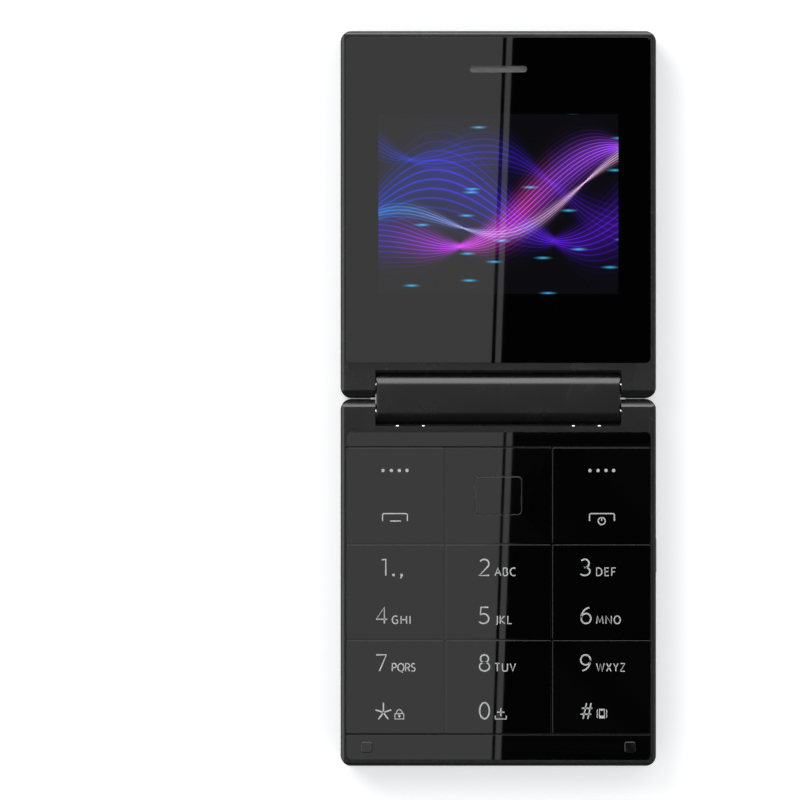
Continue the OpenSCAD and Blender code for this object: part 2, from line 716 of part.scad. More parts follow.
module keypad_web() {
    well_gap = 0.3;
    hole_r = pusher_r + 0.25;
    color([0.55, 0.56, 0.58]) difference() {
        slab(keypad_half_w - 0.15, [-row_y[3] + 0.15, -row_y[0] - 0.15], [web_z, web_top], 0.45);
        for (p = key_places) pillar(p, [0, half_t], hole_r);
        for (p = nav_places) pillar([p[0], nav_y + p[1]], [0, half_t], hole_r);
        pillar([0, nav_y], [0, half_t], hole_r);
        // room for the tilting plate, and the well for the gimbal
        slab(key_mid_w / 2, [-row_y[1], -row_y[0] - 0.1], [key_z - nav_room, half_t], 0.1);
        slab(gimbal_half_x + well_gap,
            [nav_y - gimbal_half_y - well_gap, nav_y + gimbal_half_y + well_gap],
            [gimbal_well_z, half_t], 1);
    }
}

module dome_sheet() {
    color(steel_colour) {
        slab(keypad_half_w - ledge - 0.1, [-row_y[3] + ledge + 0.1, -row_y[0] - ledge - 0.1],
            [board_top, board_top + film_t], 0.4);
        for (p = concat(key_places, [for (n = nav_places) [n[0], nav_y + n[1]]], [[0, nav_y]]))
            dome(p);
    }
}
// A spherical cap on a round foot
module dome(p) {
    ball = (dome_r * dome_r + dome_h * dome_h) / (2 * dome_h);
    translate([p[0], p[1], board_top + film_t]) intersection() {
        translate([0, 0, dome_h - ball]) sphere(ball);
        translate([0, 0, -0.02]) cylinder(r = dome_r, h = dome_h + 1);
    }
}

// The main board, with the chips that sit under the shielding can
module main_pcb() {
    clear_of_boss = 3.9;
    color(board_colour) {
        slab(inner_half_w - 1, [-end_in + clear_of_boss, -base_wall_y - clear_of_boss],
            [board_z, board_top - 0.01], 0.5);
        for (chip = chips) translate([-(can_x[0] + can_x[1]) / 2, -chip[0], board_z - chip[2]])
            linear_extrude(chip[2] + 0.01) square([chip[1], chip[1]], center = true);
    }
}
// Distance from the fold line, side and height of each chip
chips = [[19.5, 7, 1], [28.5, 5.5, 0.9], [36, 4.2, 1.1], [41, 2.6, 0.8]];

// A folded steel can over the chips, with vent holes in its lid
module shield_can() {
    vent_r = 0.45;
    vent_pitch = 2.4;
    mid_x = (can_x[0] + can_x[1]) / 2;
    color(steel_colour) difference() {
        block([-can_x[1], -can_y[1], board_z - can_h], [-can_x[0], -can_y[0], board_z]);
        block([can_t - can_x[1], can_t - can_y[1], board_z - can_h + can_t],
            [-can_x[0] - can_t, -can_y[0] - can_t, board_z + over]);
        for (i = [-1:1], k = [-4:4])
            pillar([i * vent_pitch - mid_x, k * vent_pitch - (can_y[0] + can_y[1]) / 2],
                [board_z - 2 * can_h, board_z - can_t], vent_r);
    }
}
// A folded steel tray, open at one end for the card
module card_holder() {
    side_t = 0.8;
    slot_z = [board_z - card_h + 0.4, board_z - 0.3];
    color(steel_colour) difference() {
        block([card_x[0], -card_y[1], board_z - card_h], [card_x[1], -card_y[0], board_z]);
        block([card_x[0] + side_t, -card_y[1] - over, slot_z[0]],
            [card_x[1] - side_t, -card_y[0] - side_t, slot_z[1]]);
        // window that shows the card
        block([card_x[0] + 2.5, -card_y[1] + 4, 0], [card_x[1] - 2.5, -card_y[0] - 4, slot_z[0] + 0.1]);
    }
}
module battery() {
    color([0.2, 0.22, 0.28]) slab(battery_w / 2, [-battery_y[1] + 0.1, -battery_y[0]],
        [panel_t + cover_t + seat_gap, panel_t + cover_t + seat_gap + battery_t], 1);
}
module battery_contacts() {
    housing = [10, 1.9, 2];
    blade = [1, 0.35, 0.8];
    pitch = 3;
    color([0.85, 0.7, 0.35]) {
        translate([-housing[0] / 2, -battery_y[0] + 0.3, board_z - housing[2]]) cube(housing);
        for (i = [-1:1])
            translate([i * pitch - blade[0] / 2, -battery_y[0] + 0.05, board_z - 1.8]) cube(blade);
    }
}
// A coin motor: a drawn cup on a wider base
module vibration_motor() {
    rim_t = 0.5;
    color(steel_colour) {
        pillar([motor_x, -motor_y], [base_floor_z, base_floor_z + rim_t], motor_r);
        pillar([motor_x, -motor_y], [base_floor_z, base_floor_z + motor_t], motor_r - 0.4);
    }
}
// A frame with a raised cone in its recess
module loudspeaker() {
    rim = 1.6;
    cone_r = 1.2;
    recess_z = base_floor_z + speaker_t - 0.8;
    color([0.12, 0.12, 0.13]) {
        difference() {
            speaker_outline(0, [base_floor_z, base_floor_z + speaker_t], 1.5);
            speaker_outline(rim, [recess_z, half_t], cone_r);
        }
        speaker_outline(2 * rim, [recess_z - 0.1, recess_z + 0.4], cone_r);
    }
}
module speaker_outline(inset, z, r) {
    half = [speaker_half[0] - inset, speaker_half[1] - inset];
    slab_at(speaker_x, half[0], [-speaker_y - half[1], -speaker_y + half[1]], z, r);
}
module microphone() {
    top_z = 2 * microphone_z - base_floor_z;
    color(bright_colour) difference() {
        block([microphone_x - microphone_half, -end_in + 0.02, base_floor_z],
            [microphone_x + microphone_half, -end_in + microphone_len, top_z]);
        rod_y([microphone_x, -end_in - over, microphone_z], 2 * over, microphone_r);
    }
}
// The antenna's carrier along the far end wall
module antenna() {
    color([0.8, 0.72, 0.5]) block([antenna_end - inner_half_w, -end_in + 0.05, base_floor_z],
        [-port_w, -end_in + antenna_w, base_floor_z + antenna_h]);
}
// A drawn steel shell with a contact tongue inside
module charging_port() {
    mouth = 0.3;
    back_t = 1;
    back_y = mouth + port_len - half_len;
    color(steel_colour) translate([0, back_y, port_z]) rotate([90, 0, 0]) difference() {
        linear_extrude(port_len) port_outline(0);
        translate([0, 0, back_t]) linear_extrude(port_len) port_outline(-port_sheet);
    }
    color([0.1, 0.1, 0.1]) translate([0, back_y - (back_t + port_tongue[1]) / 2, port_z])
        cube(port_tongue, center = true);
}
module battery_cover() {
    color([0.2, 0.2, 0.21]) slab(leather_half_w, [-cover_y[1], -cover_y[0]],
        [panel_t, panel_t + cover_t - 0.02], 0.95);
}
module base_leather_panel() {
    color(leather_colour) mirror([0, 1, 0])
        slab(leather_half_w, [base_leather_y, leather_end], [0, panel_t], 1);
}
module base_trim() {
    color(bright_colour) mirror([0, 1, 0]) difference() {
        slab(trim_out_w, [base_leather_y - trim_w - trim_gap, half_len - trim_inset],
            [0.02, panel_t], plan_r - trim_inset);
        slab(trim_out_w - trim_w, [base_leather_y - trim_gap, half_len - trim_inset - trim_w],
            [-over, 2 * panel_t], plan_r - trim_inset - 0.1);
    }
}

// A cap screw from the back, up through both shells
module screw(p, head_z, top_z) {
    color(steel_colour) {
        pillar(p, [head_z, head_z + screw_head_t], screw_head_r);
        pillar(p, [head_z + screw_head_t - 0.01, top_z], screw_r);
    }
}
module base_screws() {
    for (p = base_bosses) screw([p[0], -p[1]], panel_t + cover_t, board_top + 0.4);
}

module base_hinge_shafts() {
    color(steel_colour) {
        hinge_shaft(-1, -axis_y);
        hinge_shaft(1, -axis_y);
        gear(0);
    }
}

// ---- Hinge block ----

// A rectangle round the origin with cut corners
module chamfered(w, h, c) {
    x = [w / 2, w / 2 - c];
    y = [h / 2 - c, h / 2];
    polygon([[x[0], y[0]], [x[1], y[1]], [-x[1], y[1]], [-x[0], y[0]],
        [-x[0], -y[0]], [-x[1], -y[1]], [x[1], -y[1]], [x[0], -y[0]]]);
}
module block_form(r, half) {
    for (s = [-1, 1]) rod([-half, half], s * axis_y, axis_z, r);
    block([-half, -axis_y, axis_z - r], [half, axis_y, axis_z + r]);
}
module block_shell() {
    bore_gap = 0.12;
    difference() {
        intersection() {
            block_form(barrel_r, block_w / 2);
            translate([0, half_t, axis_z]) rotate([90, 0, 0]) linear_extrude(2 * half_t)
                chamfered(block_w, 2 * (barrel_r + over), end_chamfer + over);
        }
        block_form(barrel_in_r, block_w / 2 - block_wall);
        for (s = [-1, 1]) rod([-block_w, block_w], s * axis_y, axis_z, shaft_r + bore_gap);
    }
}
module hinge_block_front() {
    color(frame_colour) intersection() {
        block_shell();
        block([-block_w, -half_t, axis_z], [block_w, half_t, 2 * half_t]);
    }
}
module hinge_block_back() {
    color(frame_colour) intersection() {
        block_shell();
        block([-block_w, -half_t, -over], [block_w, half_t, axis_z]);
    }
}

module end_plate(x0, x1, idlers) {
    difference() {
        block_form_between(x0, x1, barrel_in_r - seat_gap);
        for (s = [-1, 1]) rod([x0 - over, x1 + over], s * axis_y, axis_z, shaft_r + shaft_fit);
        if (idlers) for (k = [1, 2]) rod([x0 - over, x1 + over], gear_y(k), axis_z, idler_r + shaft_fit);
    }
}
module block_form_between(x0, x1, r) {
    for (s = [-1, 1]) rod([x0, x1], s * axis_y, axis_z, r);
    block([x0, -axis_y, axis_z - r], [x1, axis_y, axis_z + r]);
}
module hinge_end_plates() {
    color(steel_colour) {
        end_plate(-plate_out_x, end_plate_t - plate_out_x, true);
        end_plate(-plate_in_x, end_plate_t - plate_in_x, true);
        end_plate(plate_out_x - end_plate_t, plate_out_x, false);
        end_plate(plate_in_x - end_plate_t, plate_in_x, false);
    }
}
module idler_gear_base() { color(steel_colour) idler_gear(1); }
module idler_gear_lid() { color(steel_colour) idler_gear(2); }

// A spring clip like a figure of eight, slit at both ends, that rubs on both shafts
module torque_clip() {
    x = gear_out_x - (gear_w - clip_len) / 2 - clip_len;
    grip = shaft_r + 0.02;
    slit = 0.3;
    color([0.5, 0.5, 0.52]) translate([x, 0, axis_z]) rotate([90, 0, 90]) linear_extrude(clip_len)
        difference() {
            union() {
                for (s = [-1, 1]) translate([s * axis_y, 0]) circle(grip + clip_t);
                square([2 * axis_y, 2 * clip_t], center = true);
            }
            for (s = [-1, 1]) {
                translate([s * axis_y, 0]) circle(grip);
                translate([s * (axis_y + grip + clip_t), 0])
                    square([2 * clip_t + 2 * slit, slit], center = true);
            }
        }
}

module display_flex() {
    color([0.75, 0.5, 0.15]) difference() {
        block_form_between(-flex_half_w, flex_half_w, barrel_in_r - seat_gap);
        block_form_between(-flex_half_w - over, flex_half_w + over, barrel_in_r - seat_gap - flex_t);
    }
}

// ---- Lid half ----

module lid_hinge_shafts() {
    color(steel_colour) {
        hinge_shaft(-1, axis_y);
        hinge_shaft(1, axis_y);
        gear(3);
    }
}

module lid_front_frame() {
    sound_rim = 0.2;
    color(frame_colour) difference() {
        front_part();
        hinge_notch(lid_notch_y);
        light_slots(1);
        slab(glass_half_w, [glass_start, glass_end], [glass_z, half_t + over], glass_r);
        slab(lcd_half_w + 0.1, [lcd_y - lcd_half_h - 0.1, lcd_y + lcd_half_h + 0.1],
            [mask_z - over, half_t], 0.2);
        translate([0, slot_y, mask_z - over]) linear_extrude(mask_t + 2 * over)
            round_rect(slot_w - 3 * sound_rim, slot_h - 2 * sound_rim, slot_h / 2 - sound_rim - 0.01);
        difference() {
            slab(inner_half_w, [lid_wall_y, end_in], [notch_z - over, mask_z], inner_r);
            for (p = lid_bosses) pillar(p, [notch_z - 2 * over, mask_z], boss_r);
        }
        for (p = lid_bosses) pillar(p, [notch_z - over, mask_z + 0.1], screw_r + 0.02);
    }
}

module lid_rear_shell() {
    rib_t = 0.8;
    rib_h = 1;
    rib_pitch = 8;
    color(frame_colour) difference() {
        union() {
            difference() {
                rear_part();
                slab(inner_half_w, [lid_wall_y, end_in], [lid_floor_z, half_t], inner_r);
            }
            for (p = lid_bosses) intersection() {
                pillar(p, [lid_floor_z - 0.1, notch_z], boss_r);
                slab(inner_half_w + 0.1, [lid_wall_y - 0.1, end_in + 0.1], [0, half_t], inner_r);
            }
            // posts that carry the lid's board
            for (p = pcb_posts) pillar(p, [lid_floor_z - 0.1, lid_pcb_z], post_r);
            // stiffening ribs across the back wall
            for (x = [-2:2]) block([x * rib_pitch - rib_t / 2, lid_wall_y - 0.1, lid_floor_z - 0.1],
                [x * rib_pitch + rib_t / 2, plate_start - 2, lid_floor_z + rib_h]);
            for (y = [lid_pcb_y[0], plate_start - 2])
                block([-2 * rib_pitch, y - rib_t / 2, lid_floor_z - 0.1],
                    [2 * rib_pitch, y + rib_t / 2, lid_floor_z + rib_h]);
        }
        panel_pocket(lid_leather_y);
        block([-tongue_half_w - seat_gap, -over, -over],
            [tongue_half_w + seat_gap, lid_leather_y, panel_t]);
        light_slots(1);
        for (y = [camera_y, flash_y]) pillar([camera_x, y], [0, half_t], ring_r + seat_gap);
        for (p = lid_bosses) {
            pillar(p, [0, notch_z + over], screw_r + 0.1);
            pillar(p, [0, panel_t + screw_head_t + 0.02], screw_head_r + 0.1);
        }
    }
}

module lid_glass() {
    color([0.05, 0.05, 0.06]) difference() {
        slab(glass_half_w - seat_gap, [glass_start + seat_gap, glass_end - seat_gap],
            [glass_z, half_t], glass_r);
        translate([0, slot_y, 0]) linear_extrude(2 * half_t) round_rect(slot_w, slot_h, slot_h / 2 - 0.01);
    }
}
module earpiece_mesh() {
    color([0.4, 0.4, 0.4]) translate([0, slot_y, glass_z]) linear_extrude(0.35)
        round_rect(slot_w - 2 * seat_gap, slot_h - 2 * seat_gap, slot_h / 2 - 2 * seat_gap);
}
module lcd_module() {
    color([0.03, 0.03, 0.08]) block([-lcd_half_w, lcd_y - lcd_half_h, lcd_z],
        [lcd_half_w, lcd_y + lcd_half_h, lcd_z + lcd_t]);
}
// A steel tray with a flange under the mask
module lcd_frame() {
    t = lcd_frame_t;
    room = [lcd_half_w + seat_gap, lcd_half_h + seat_gap];
    color(steel_colour) difference() {
        union() {
            slab(room[0] + t, [lcd_y - room[1] - t, lcd_y + room[1] + t], [lcd_frame_z, mask_z], 0.5);
            slab(min(lcd_half_w + flange_w, inner_half_w - 0.1),
                [lcd_y - lcd_half_h - flange_w, lcd_y + lcd_half_h + flange_w], [mask_z - t, mask_z], 1);
        }
        block([-room[0], lcd_y - room[1], lcd_z - seat_gap], [room[0], lcd_y + room[1], half_t]);
        // windows that save weight
        for (s = [-1, 1]) slab_at(s * lcd_half_w / 2, lcd_half_w / 2 - 3,
            [lcd_y - lcd_half_h + 4, lcd_y + lcd_half_h - 4], [0, lcd_z], 2);
    }
}
module earpiece_receiver() {
    color([0.15, 0.15, 0.16]) slab(receiver_half_w,
        [slot_y - receiver_half_h, slot_y + receiver_half_h], [mask_z - receiver_t, mask_z - 0.02], 2);
}
// A ring whose rounded front edge lies in a groove, with a flange behind the floor
module lens_ring(y) {
    nose_r = ring_t / 2;
    nose_z = 0.08 + nose_r;
    flange = [1.2, 0.3];
    translate([camera_x, y, 0]) rotate_extrude() {
        translate([ring_r - nose_r, nose_z]) circle(nose_r);
        translate([ring_r - ring_t, nose_z]) square([ring_t, lid_floor_z - nose_z]);
        translate([ring_r - flange[0], lid_floor_z - flange[1]]) square(flange);
    }
}
module lens_rings() { color(steel_colour) for (y = [camera_y, flash_y]) lens_ring(y); }
// A flat bezel between the ring and the window, chamfered down to the window
module lens_bezels() {
    seat = lid_floor_z - 0.3;
    rim_z = 0.02;
    out_r = ring_r - ring_t - seat_gap;
    chamfer = window_z - seat_gap - rim_z;
    color(gloss_colour) for (y = [camera_y, flash_y]) translate([camera_x, y, 0]) rotate_extrude()
        polygon([[lens_r + seat_gap, seat], [out_r, seat], [out_r, rim_z],
            [lens_r + seat_gap + chamfer, rim_z], [lens_r + seat_gap, rim_z + chamfer]]);
}
// A window with a gently domed outer face
module camera_lens() {
    ball_r = 9;
    dome = [for (i = [0:6]) let (r = i * lens_r / 6)
        [r, window_z + ball_r - sqrt(ball_r * ball_r - r * r)]];
    color([0.1, 0.12, 0.2]) translate([camera_x, camera_y, 0]) rotate_extrude()
        polygon(concat(dome, [[lens_r, lid_floor_z - 0.32], [0, lid_floor_z - 0.32]]));
}
module flash_lens() {
    color([0.9, 0.9, 0.85]) {
        pillar([camera_x, flash_y], [window_z, lid_floor_z - 0.2], lens_r);
        pillar([camera_x, flash_y], [lid_floor_z - 0.28, lid_floor_z + 0.3], window_r);
    }
}
module camera_module() {
    color([0.12, 0.12, 0.14]) {
        pillar([camera_x, camera_y], [lid_floor_z - 0.3, lid_floor_z + 0.1], window_r);
        translate([camera_x, camera_y, lid_floor_z + 0.02]) {
            linear_extrude(module_h) round_rect(module_side, module_side, 0.6);
            linear_extrude(module_h / 3) round_rect(module_side + 0.8, module_side + 0.8, 1);
        }
    }
}
// Bevelled along both sides and the far end
module camera_plate() {
    far_y = half_len - trim_inset;
    deep = 2 * panel_t;
    run = plate_bevel[0] * (deep / plate_bevel[1] - 1);     // how far the slope runs out at that depth
    color(gloss_colour) difference() {
        intersection() {
            slab(trim_out_w, [plate_start + 0.1, far_y], [-over, panel_t - 0.01], plan_r - trim_inset);
            translate([0, half_len, 0]) rotate([90, 0, 0]) linear_extrude(half_len)
                polygon([[-trim_out_w - run, deep], [plate_bevel[0] - trim_out_w, 0],
                    [trim_out_w - plate_bevel[0], 0], [trim_out_w + run, deep]]);
            translate([-half_w, 0, 0]) rotate([90, 0, 90]) linear_extrude(body_w)
                polygon([[0, 0], [far_y - plate_bevel[0], 0], [far_y + run, deep], [0, deep]]);
        }
        for (y = [camera_y, flash_y]) pillar([camera_x, y], [-over, half_t], ring_r + seat_gap);
    }
}
module lid_leather_panel() {
    color(leather_colour) {
        intersection() {
            slab(leather_half_w, [lid_leather_y, plate_start + 2 * leather_r], [0, panel_t], leather_r);
            block([-half_w, 0, 0], [half_w, plate_start, half_t]);
        }
        block([-tongue_half_w, 0.2, 0], [tongue_half_w, lid_leather_y + 1, panel_t]);
    }
}
module lid_trim() {
    color(bright_colour) difference() {
        slab(trim_out_w, [lid_leather_y - trim_w - trim_gap, plate_start + 5],
            [0.02, panel_t], leather_r + 0.3);
        slab(trim_out_w - trim_w, [lid_leather_y - trim_gap, plate_start + 6],
            [-over, 2 * panel_t], leather_r + seat_gap);
        block([-half_w, plate_start, -over], [half_w, half_len, half_t]);
        block([-tongue_half_w - 0.15, -over, -over], [tongue_half_w + 0.15, lid_leather_y + 1, half_t]);
    }
}
module lid_pcb() {
    emitter = 1.5;
    color(board_colour) {
        slab(lid_pcb_half_w, lid_pcb_y, [lid_pcb_z, lid_pcb_z + pcb_t], 1);
        block([camera_x - emitter, flash_y - emitter, lid_floor_z + 0.35],
            [camera_x + emitter, flash_y + emitter, lid_pcb_z + 0.1]);
    }
}
module lid_screws() { for (p = lid_bosses) screw(p, panel_t, mask_z - 0.2); }
module closing_magnet() {
    color(steel_colour) translate([-magnet[0] / 2, end_in - magnet[1] - 0.05, lid_floor_z]) cube(magnet);
}

base_front_frame();
base_rear_shell();
keypad_strips();
soft_call_key();
soft_end_key();
key_1_4();
key_2_5();
key_3_6();
key_7_star();
key_8_0();
key_9_hash();
nav_plate();
nav_gimbal();
ok_key();
side_key();
keypad_web();
dome_sheet();
main_pcb();
shield_can();
card_holder();
battery();
battery_contacts();
vibration_motor();
loudspeaker();
microphone();
antenna();
charging_port();
battery_cover();
base_leather_panel();
base_trim();
lid_bumpers();
base_screws();
base_hinge_shafts();
hinge_block_front();
hinge_block_back();
hinge_end_plates();
idler_gear_base();
idler_gear_lid();
torque_clip();
display_flex();
lid_hinge_shafts();
lid_front_frame();
lid_rear_shell();
lid_glass();
lcd_module();
lcd_frame();
earpiece_receiver();
earpiece_mesh();
camera_module();
camera_lens();
flash_lens();
lens_rings();
lens_bezels();
camera_plate();
lid_leather_panel();
lid_trim();
lid_pcb();
lid_screws();
closing_magnet();
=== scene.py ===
# %% [markdown]
# # A folding phone, open on a white table
#
# The phone lies open and flat. This file adds what a solid model lacks: finishes, softened
# edges, grained leather, printed key legends, the picture on the display, the lenses, and
# the light of a photo studio. Every length is in metres.

# %% Load the frame
import json
import math
import bmesh
import bpy
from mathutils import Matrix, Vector, noise

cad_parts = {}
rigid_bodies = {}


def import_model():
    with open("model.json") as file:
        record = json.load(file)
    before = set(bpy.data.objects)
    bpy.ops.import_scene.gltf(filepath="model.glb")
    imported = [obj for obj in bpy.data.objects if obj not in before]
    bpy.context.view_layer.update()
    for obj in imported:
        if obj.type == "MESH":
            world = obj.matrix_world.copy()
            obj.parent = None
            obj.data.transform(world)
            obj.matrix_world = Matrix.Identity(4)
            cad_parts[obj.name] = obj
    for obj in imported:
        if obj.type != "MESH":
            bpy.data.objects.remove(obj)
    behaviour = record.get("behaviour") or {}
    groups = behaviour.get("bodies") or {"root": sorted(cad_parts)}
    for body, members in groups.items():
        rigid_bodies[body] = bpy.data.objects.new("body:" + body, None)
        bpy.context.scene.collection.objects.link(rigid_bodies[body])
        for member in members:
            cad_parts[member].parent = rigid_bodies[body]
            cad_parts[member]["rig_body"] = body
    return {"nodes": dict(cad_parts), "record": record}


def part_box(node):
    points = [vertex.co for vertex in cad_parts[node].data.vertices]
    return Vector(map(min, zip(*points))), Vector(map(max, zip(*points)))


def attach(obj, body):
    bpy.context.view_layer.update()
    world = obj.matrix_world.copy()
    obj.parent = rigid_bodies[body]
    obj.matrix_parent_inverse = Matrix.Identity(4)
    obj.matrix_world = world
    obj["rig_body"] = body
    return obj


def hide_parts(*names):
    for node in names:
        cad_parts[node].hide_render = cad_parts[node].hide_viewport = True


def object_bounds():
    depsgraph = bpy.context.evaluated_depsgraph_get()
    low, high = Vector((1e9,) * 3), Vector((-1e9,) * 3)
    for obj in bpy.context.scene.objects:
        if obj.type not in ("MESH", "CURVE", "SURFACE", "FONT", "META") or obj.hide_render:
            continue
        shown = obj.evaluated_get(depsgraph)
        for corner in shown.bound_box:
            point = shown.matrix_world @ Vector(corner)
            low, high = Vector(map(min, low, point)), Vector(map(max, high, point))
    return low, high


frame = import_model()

MM = 0.001
nodes = frame["nodes"]
scene = bpy.context.scene
scene.view_settings.view_transform = "Standard"
cad_box = [list(corner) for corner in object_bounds()]
print(len(nodes), "solid parts in", [round(side / MM, 2) for side in cad_box[0] + cad_box[1]])

# %% [markdown]
# ## Camera
#
# The photograph looks straight down on the phone through a long lens, so there is almost no
# perspective. One picture element covers 0.204 mm of the front faces. The camera hangs high
# above the middle of the picture, and its lens is worked out from that scale.

# %% Camera
PICTURE = 800                        # elements along one side of the picture
ELEMENT = 0.204 * MM                 # what one element covers on the front faces
FOLD_AT = (498.35, 398.5)            # where the middle of the fold line shows in the picture
CAMERA_UP = 1.2                      # height above the front faces
front_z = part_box("lid_glass")[1].z


def spot(across, down):
    """The place on the front faces that shows at this place in the picture."""
    return (across - FOLD_AT[0]) * ELEMENT, (FOLD_AT[1] - down) * ELEMENT


camera_data = bpy.data.cameras.new("camera")
camera_data.sensor_width = 36
camera_data.lens = camera_data.sensor_width * CAMERA_UP / (PICTURE * ELEMENT)
camera = bpy.data.objects.new("camera", camera_data)
camera.location = (*spot(PICTURE / 2, PICTURE / 2), front_z + CAMERA_UP)
scene.collection.objects.link(camera)
scene.camera = camera
print("camera at", [round(v, 4) for v in camera.location], "lens", round(camera_data.lens, 1), "mm")

# %% [markdown]
# ## Node helpers
#
# Shader trees are easier to read when each node takes one line. `put` adds a node, sets its
# options, and links an input when it is given a socket. `calc` does one step of arithmetic.

# %% Node helpers
def put(tree, kind, inputs=None, **settings):
    """Adds a node. An input that is a socket is linked, and anything else is its value."""
    node = tree.nodes.new(kind)
    for name, value in settings.items():
        setattr(node, name, value)
    for key, value in (inputs or {}).items():
        if isinstance(value, bpy.types.NodeSocket):
            tree.links.new(value, node.inputs[key])
        else:
            node.inputs[key].default_value = value
    return node


def calc(tree, operation, *values, clamp=False):
    """One Math node, whose result is returned."""
    inputs = dict(enumerate(values))
    return put(tree, "ShaderNodeMath", inputs, operation=operation, use_clamp=clamp).outputs[0]


def between(tree, value, low, high, bottom=0.0, top=1.0):
    """A value mapped from low..high to bottom..top and held there."""
    inputs = {0: value, 1: low, 2: high, 3: bottom, 4: top}
    return put(tree, "ShaderNodeMapRange", inputs, clamp=True).outputs[0]


def ramp(tree, value, stops):
    """A Color Ramp through (position, colour) stops."""
    node = put(tree, "ShaderNodeValToRGB", {"Fac": value})
    while len(node.color_ramp.elements) < len(stops):
        node.color_ramp.elements.new(1)
    for element, (position, colour) in zip(node.color_ramp.elements, stops):
        element.position = position
        element.color = (*colour, 1)
    return node.outputs["Color"]


def blend_colours(tree, mask, below, above):
    """Two colours mixed by a mask."""
    node = put(tree, "ShaderNodeMix", {0: mask, 6: below, 7: above}, data_type="RGBA")
    return node.outputs[2]


def new_group(name, inputs, outputs):
    """An empty shader group with named sockets. Returns the tree, its input and its output node."""
    tree = bpy.data.node_groups.new(name, "ShaderNodeTree")
    for socket, value in inputs.items():
        kind = "NodeSocketVector" if value is None else "NodeSocketFloat"
        made = tree.interface.new_socket(socket, in_out="INPUT", socket_type=kind)
        if value is not None:
            made.default_value = value
    for socket, kind in outputs.items():
        tree.interface.new_socket(socket, in_out="OUTPUT", socket_type="NodeSocket" + kind)
    return tree, tree.nodes.new("NodeGroupInput"), tree.nodes.new("NodeGroupOutput")


def use(tree, group, **values):
    """Places a group in a material's tree. Underscores in a name stand for spaces."""
    node = put(tree, "ShaderNodeGroup", node_tree=group)
    for name, value in values.items():
        socket = node.inputs[name.replace("_", " ")]
        if isinstance(value, bpy.types.NodeSocket):
            tree.links.new(value, socket)
        else:
            socket.default_value = value
    return node


# %% [markdown]
# ## Studio
#
# The background of the photograph is pure white. The floor and the world look white to the
# camera, and to rays that leave glossy and clear surfaces, while the light that they throw on
# the phone stays at a plain level. The floor keeps the phone's soft shadow. Seen from below it
# is clear, and so it is to rays that set out right above it, so the back shows and is lit.

# %% World and floor
def seen_directly(tree, path):
    """1 for rays that show the backdrop itself: camera, glossy and transmission rays."""
    straight = calc(tree, "MAXIMUM", path.outputs["Is Camera Ray"], path.outputs["Is Glossy Ray"])
    return calc(tree, "MAXIMUM", straight, path.outputs["Is Transmission Ray"])


SKY_LIGHT = 0.62                     # world strength for the light on the phone
UNDER_SKY = 0.35                     # what gloss on the back mirrors when seen from below the table
world = bpy.data.worlds.new("studio")
world.use_nodes = True
scene.world = world
tree = world.node_tree
tree.nodes.clear()
path = put(tree, "ShaderNodeLightPath")
heading = put(tree, "ShaderNodeSeparateXYZ", {0: put(tree, "ShaderNodeTexCoord").outputs["Generated"]})
downwards = calc(tree, "LESS_THAN", heading.outputs["Z"], 0.0)
dimmed = calc(tree, "MULTIPLY", downwards, path.outputs["Is Glossy Ray"])
strength = between(tree, dimmed, 0.0, 1.0, 1.0, UNDER_SKY)
shown = put(tree, "ShaderNodeBackground", {"Color": (1, 1, 1, 1), "Strength": strength})
lighting = put(tree, "ShaderNodeBackground", {"Color": (0.97, 0.98, 1, 1), "Strength": SKY_LIGHT})
direct = seen_directly(tree, path)
backdrop = put(tree, "ShaderNodeMixShader", {0: direct, 1: lighting.outputs[0], 2: shown.outputs[0]})
put(tree, "ShaderNodeOutputWorld", {"Surface": backdrop.outputs[0]})

FLOOR_SIDE = 30
UNDER_PHONE = 1 * MM                 # rays that start closer than this to the floor pass it
floor_material = bpy.data.materials.new("white_table")
floor_material.use_nodes = True
tree = floor_material.node_tree
tree.nodes.clear()
path = put(tree, "ShaderNodeLightPath")
paint = put(tree, "ShaderNodeBsdfDiffuse", {"Color": (0.9, 0.9, 0.9, 1)})
glow = put(tree, "ShaderNodeEmission", {"Strength": calc(tree, "MULTIPLY", seen_directly(tree, path), 0.35)})
both = put(tree, "ShaderNodeAddShader", {0: paint.outputs[0], 1: glow.outputs[0]})
near = calc(tree, "LESS_THAN", path.outputs["Ray Length"], UNDER_PHONE)
passed = calc(tree, "MAXIMUM", put(tree, "ShaderNodeNewGeometry").outputs["Backfacing"], near)
clear = put(tree, "ShaderNodeBsdfTransparent")
surface = put(tree, "ShaderNodeMixShader", {0: passed, 1: both.outputs[0], 2: clear.outputs[0]})
put(tree, "ShaderNodeOutputMaterial", {"Surface": surface.outputs[0]})


def sheets(name, outlines, material):
    """A mesh of flat faces, one for each outline of points."""
    mesh = bpy.data.meshes.new(name)
    points = [point for outline in outlines for point in outline]
    faces = []
    for outline in outlines:
        start = sum(len(face) for face in faces)
        faces.append(list(range(start, start + len(outline))))
    mesh.from_pydata(points, [], faces)
    mesh.materials.append(material)
    sheet = bpy.data.objects.new(name, mesh)
    scene.collection.objects.link(sheet)
    return sheet


far = FLOOR_SIDE / 2
floor_z = cad_box[0][2] - 0.02 * MM
sheets("floor", [[(-far, -far, floor_z), (far, -far, floor_z), (far, far, floor_z), (-far, far, floor_z)]],
       floor_material)
print("floor at", round(floor_z / MM, 3), "mm")

# %% [markdown]
# ## Cards that the gloss mirrors
#
# Glossy black shows nothing of its own: it mirrors the room. In the photograph the left part
# of each half mirrors something pale and the right part something black, with a slanted edge
# and a thin black stripe beside it that start afresh on each half. Rounded edges that face the
# far end of the lid and the left are light, and those that face the keypad end are black. A
# photographer gets this with cards round the camera. A flat mirror at the surface point x
# shows the card's point p when p - x is to the card's height as x - c is to the camera's,
# where c is the point under the camera. The cards are seen by glossy rays alone.

